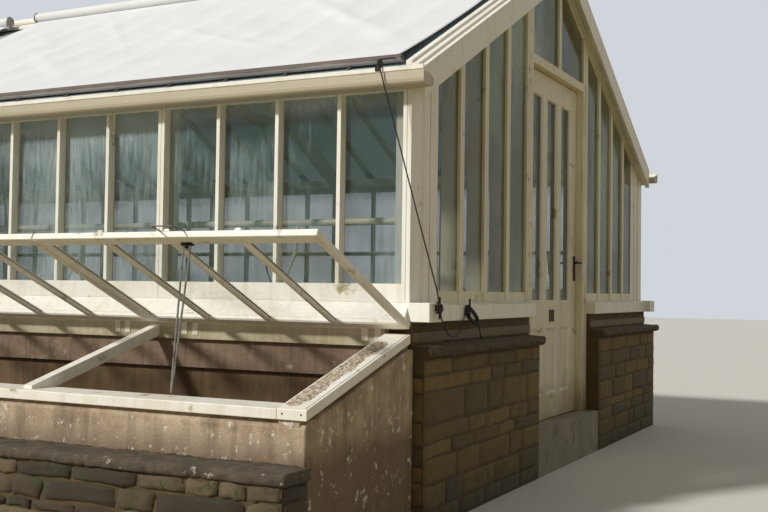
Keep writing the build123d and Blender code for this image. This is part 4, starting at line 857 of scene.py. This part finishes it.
def grit(name, x0, x1, seed):
    """Grit on an end board: height 1.2 mm and 3.2 mm of noise, sunk 0.6 mm at its ragged edges."""
    dice = np.random.default_rng(seed)
    s, t = np.meshgrid(np.linspace(0, 1, 24), np.linspace(0, 1, 120), indexing="ij")
    ragged = 0.012 * np.sin(19 * t + seed) + 0.006 * np.sin(47 * t + 2)
    x = x0 + (x1 - x0) * s + ragged * s * 0.5
    y = -2.43 + 0.70 * t
    cover = np.clip(4 * np.minimum(s, 1 - s), 0, 1) * np.clip(12 * np.minimum(t, 1 - t), 0, 1)
    z = top + (y - curb_front) * fall + cover * (0.0012 + 0.0032 * dice.uniform(0, 1, s.shape)) - 0.0006
    return piece(name, np.stack([x, y, z], -1), lattice(24, 120), grit_mix, "ledge_stone",
                 smooth=False, closed=False)


grit("grit_on_near_curb", 3.823, 3.904, 4)
grit("grit_on_far_curb", -3.904, -3.823, 5)
# dark line in the curb ends' joint: grime and painted shade
joint = [(-0.0012, -0.0002), (0.0012, -0.0002), (0.0012, 0.0004), (-0.0012, 0.0004)]
trims("curb_edge_joint_shade", joint, [((x, -2.436, top + 0.0115 * fall), (x, curb_back, top + rise), (-1, 0, 0))
                                  for x in (3.928, -3.928)], grime_and_gap_shade, "cream_paint")

# Roller blinds: off-white cloth rolled on a tube along the ridge, drawn down the front slope
# over the glazing bars, its foot on a grey-brown lath. The woven cloth is matt and bleached;
# its weave is too fine to show and is drawn 3.5 mm wide.
cloth_white = weathered("pale_blind_cloth", [(0.25, "#D8D9DB"), (0.5, "#E4E5E7"), (0.8, "#EDEEEF")],
                        0.35, 0.0035, (1, 0.35, 1), depth=0.0008, rough=(0.8, 0.9))
roll_cloth = weathered("rolled_blind_cloth", [(0.25, "#D5D6D4"), (0.5, "#E2E3E1"), (0.8, "#ECECEA")],
                       0.4, 0.003, (0.05, 1, 1), 0.0006, (0.7, 0.85))
dress(["blind_rollers"], roll_cloth)
lath = weathered("grey_brown_lath", ("#4C423B", "#655950", "#82756A"),
                 0.2, 0.002, (0.05, 1, 1), 0.0004, (0.6, 0.8), foot=("#B4AFA8", 1.964, 1.971))
dress(["blind_bottom_bars"], lath)


def blind(name, x0, x1, seed):
    """Cloth from the roller, t = 0, to the lath, t = 1: z = chord - sag + bars + folds.

    The sag is 24 mm sin(pi t)^0.7, the bars lift it by 3.5 mm and it sinks 5 mm between them,
    and sixteen slanting folds stand 2 to 7 mm high.
    """
    roller_y, roller_z, lath_y, lath_z = 0.3645, 2.9737, -1.5065, 1.9912
    bar_start, bar_pitch = -3.89, 0.3242
    dice = np.random.default_rng(seed)
    columns = int((x1 - x0) / 0.02)
    x, t = np.meshgrid(np.linspace(x0, x1, columns), np.linspace(0, 1, 90), indexing="xy")
    swell = np.sin(np.pi * t)
    bars = 0.0035 - 0.0085 * np.abs(np.sin(np.pi * (x - bar_start) / bar_pitch)) ** 0.8
    folds = np.zeros_like(x)
    for number in range(16):
        slant = dice.uniform(0.5, 1.5) * (1 if number % 3 else -1)
        middle = dice.uniform(x0, x1)
        width = dice.uniform(0.04, 0.11)
        away = (x - middle - slant * (t - 0.5) * 2.1) / width
        reach = np.exp(-((t - dice.uniform(0.25, 0.75)) / 0.3) ** 2)
        folds += dice.uniform(0.002, 0.007) * np.exp(-away ** 2) * reach
    y = roller_y + (lath_y - roller_y) * t
    z = (roller_z + (lath_z - roller_z) * t - 0.024 * swell ** 0.7 + bars * swell ** 0.4
         + folds * swell ** 0.5)
    made = piece(name, np.stack([x, y, z], -1), lattice(90, columns), cloth_white, "blind_cloth",
                 closed=False)
    thick = made.modifiers.new("thickness", "SOLIDIFY")
    thick.thickness = 0.0012
    thick.offset = 0
    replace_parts(made, "blind_cloths")


blind("near_blind_cloth", -0.148, 3.808, 5)
blind("far_blind_cloth", -3.808, -0.462, 6)


# Door: ovolo mouldings planted round the panels and beads round the lights, inside and out,
# and two half-round beads down each post.
def frames(name, section, rectangles, x, out):
    """Mitred mouldings inside rectangles (y0, y1, z0, z1) of the plane x; section is (inwards, outwards)."""
    section = np.array(section, float)
    box = np.array(rectangles, float)
    y = box[:, [0, 1, 1, 0], None] + np.array([1, -1, -1, 1.0])[:, None] * section[:, 0]
    z = box[:, [2, 2, 3, 3], None] + np.array([1, 1, -1, -1.0])[:, None] * section[:, 0]
    points = np.stack([np.broadcast_to(x + out * section[:, 1], y.shape), y, z], -1)
    faces = repeated(lattice(4, len(section), ring=True, loop=True), len(box), 4 * len(section))
    return piece(name, points, faces, cream_upright, "cream_paint", "door", smooth=False)


door_y, leaf_half, opening_half, door_stile, mullion = 0.4775, 0.475, 0.48, 0.112, 0.066
leaf_out, leaf_in = 3.846, 3.801
light = (2 * leaf_half - 2 * door_stile - 2 * mullion) / 3
starts = [door_y - leaf_half + door_stile + k * (light + mullion) for k in range(3)]
ovolo = [(0, -0.0146), (0.016, -0.0146), (0.015, -0.010), (0.010, -0.006), (0.006, -0.002), (0, 0.001)]
bead = [(0, -0.020), (0.009, -0.020), (0.009, -0.012), (0.004, -0.002), (0, 0.0005)]
for name, section, low, high in (("door_panel_mouldings", ovolo, 0.397, 0.780),
                                 ("door_light_beads", bead, 0.932, 2.117)):
    openings = [(y, y + light, low, high) for y in starts]
    frames(name, section, openings, leaf_out, 1)
    frames(f"{name}_inside", section, openings, leaf_in, -1)
half_round = [(-0.006, 0.001), (-0.0055, -0.002), (-0.003, -0.0045), (0, -0.0055), (0.003, -0.0045),
              (0.0055, -0.002), (0.006, 0.001)]
post_beads = [((3.89, door_y + way * away, 0.252), (3.89, door_y + way * away, 2.298), (0, 1, 0))
              for way in (-1, 1) for away in (opening_half + 0.030, opening_half + 0.062)]
trims("door_post_beads", half_round, post_beads, cream_upright, "cream_paint", smooth=True)

low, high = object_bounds()
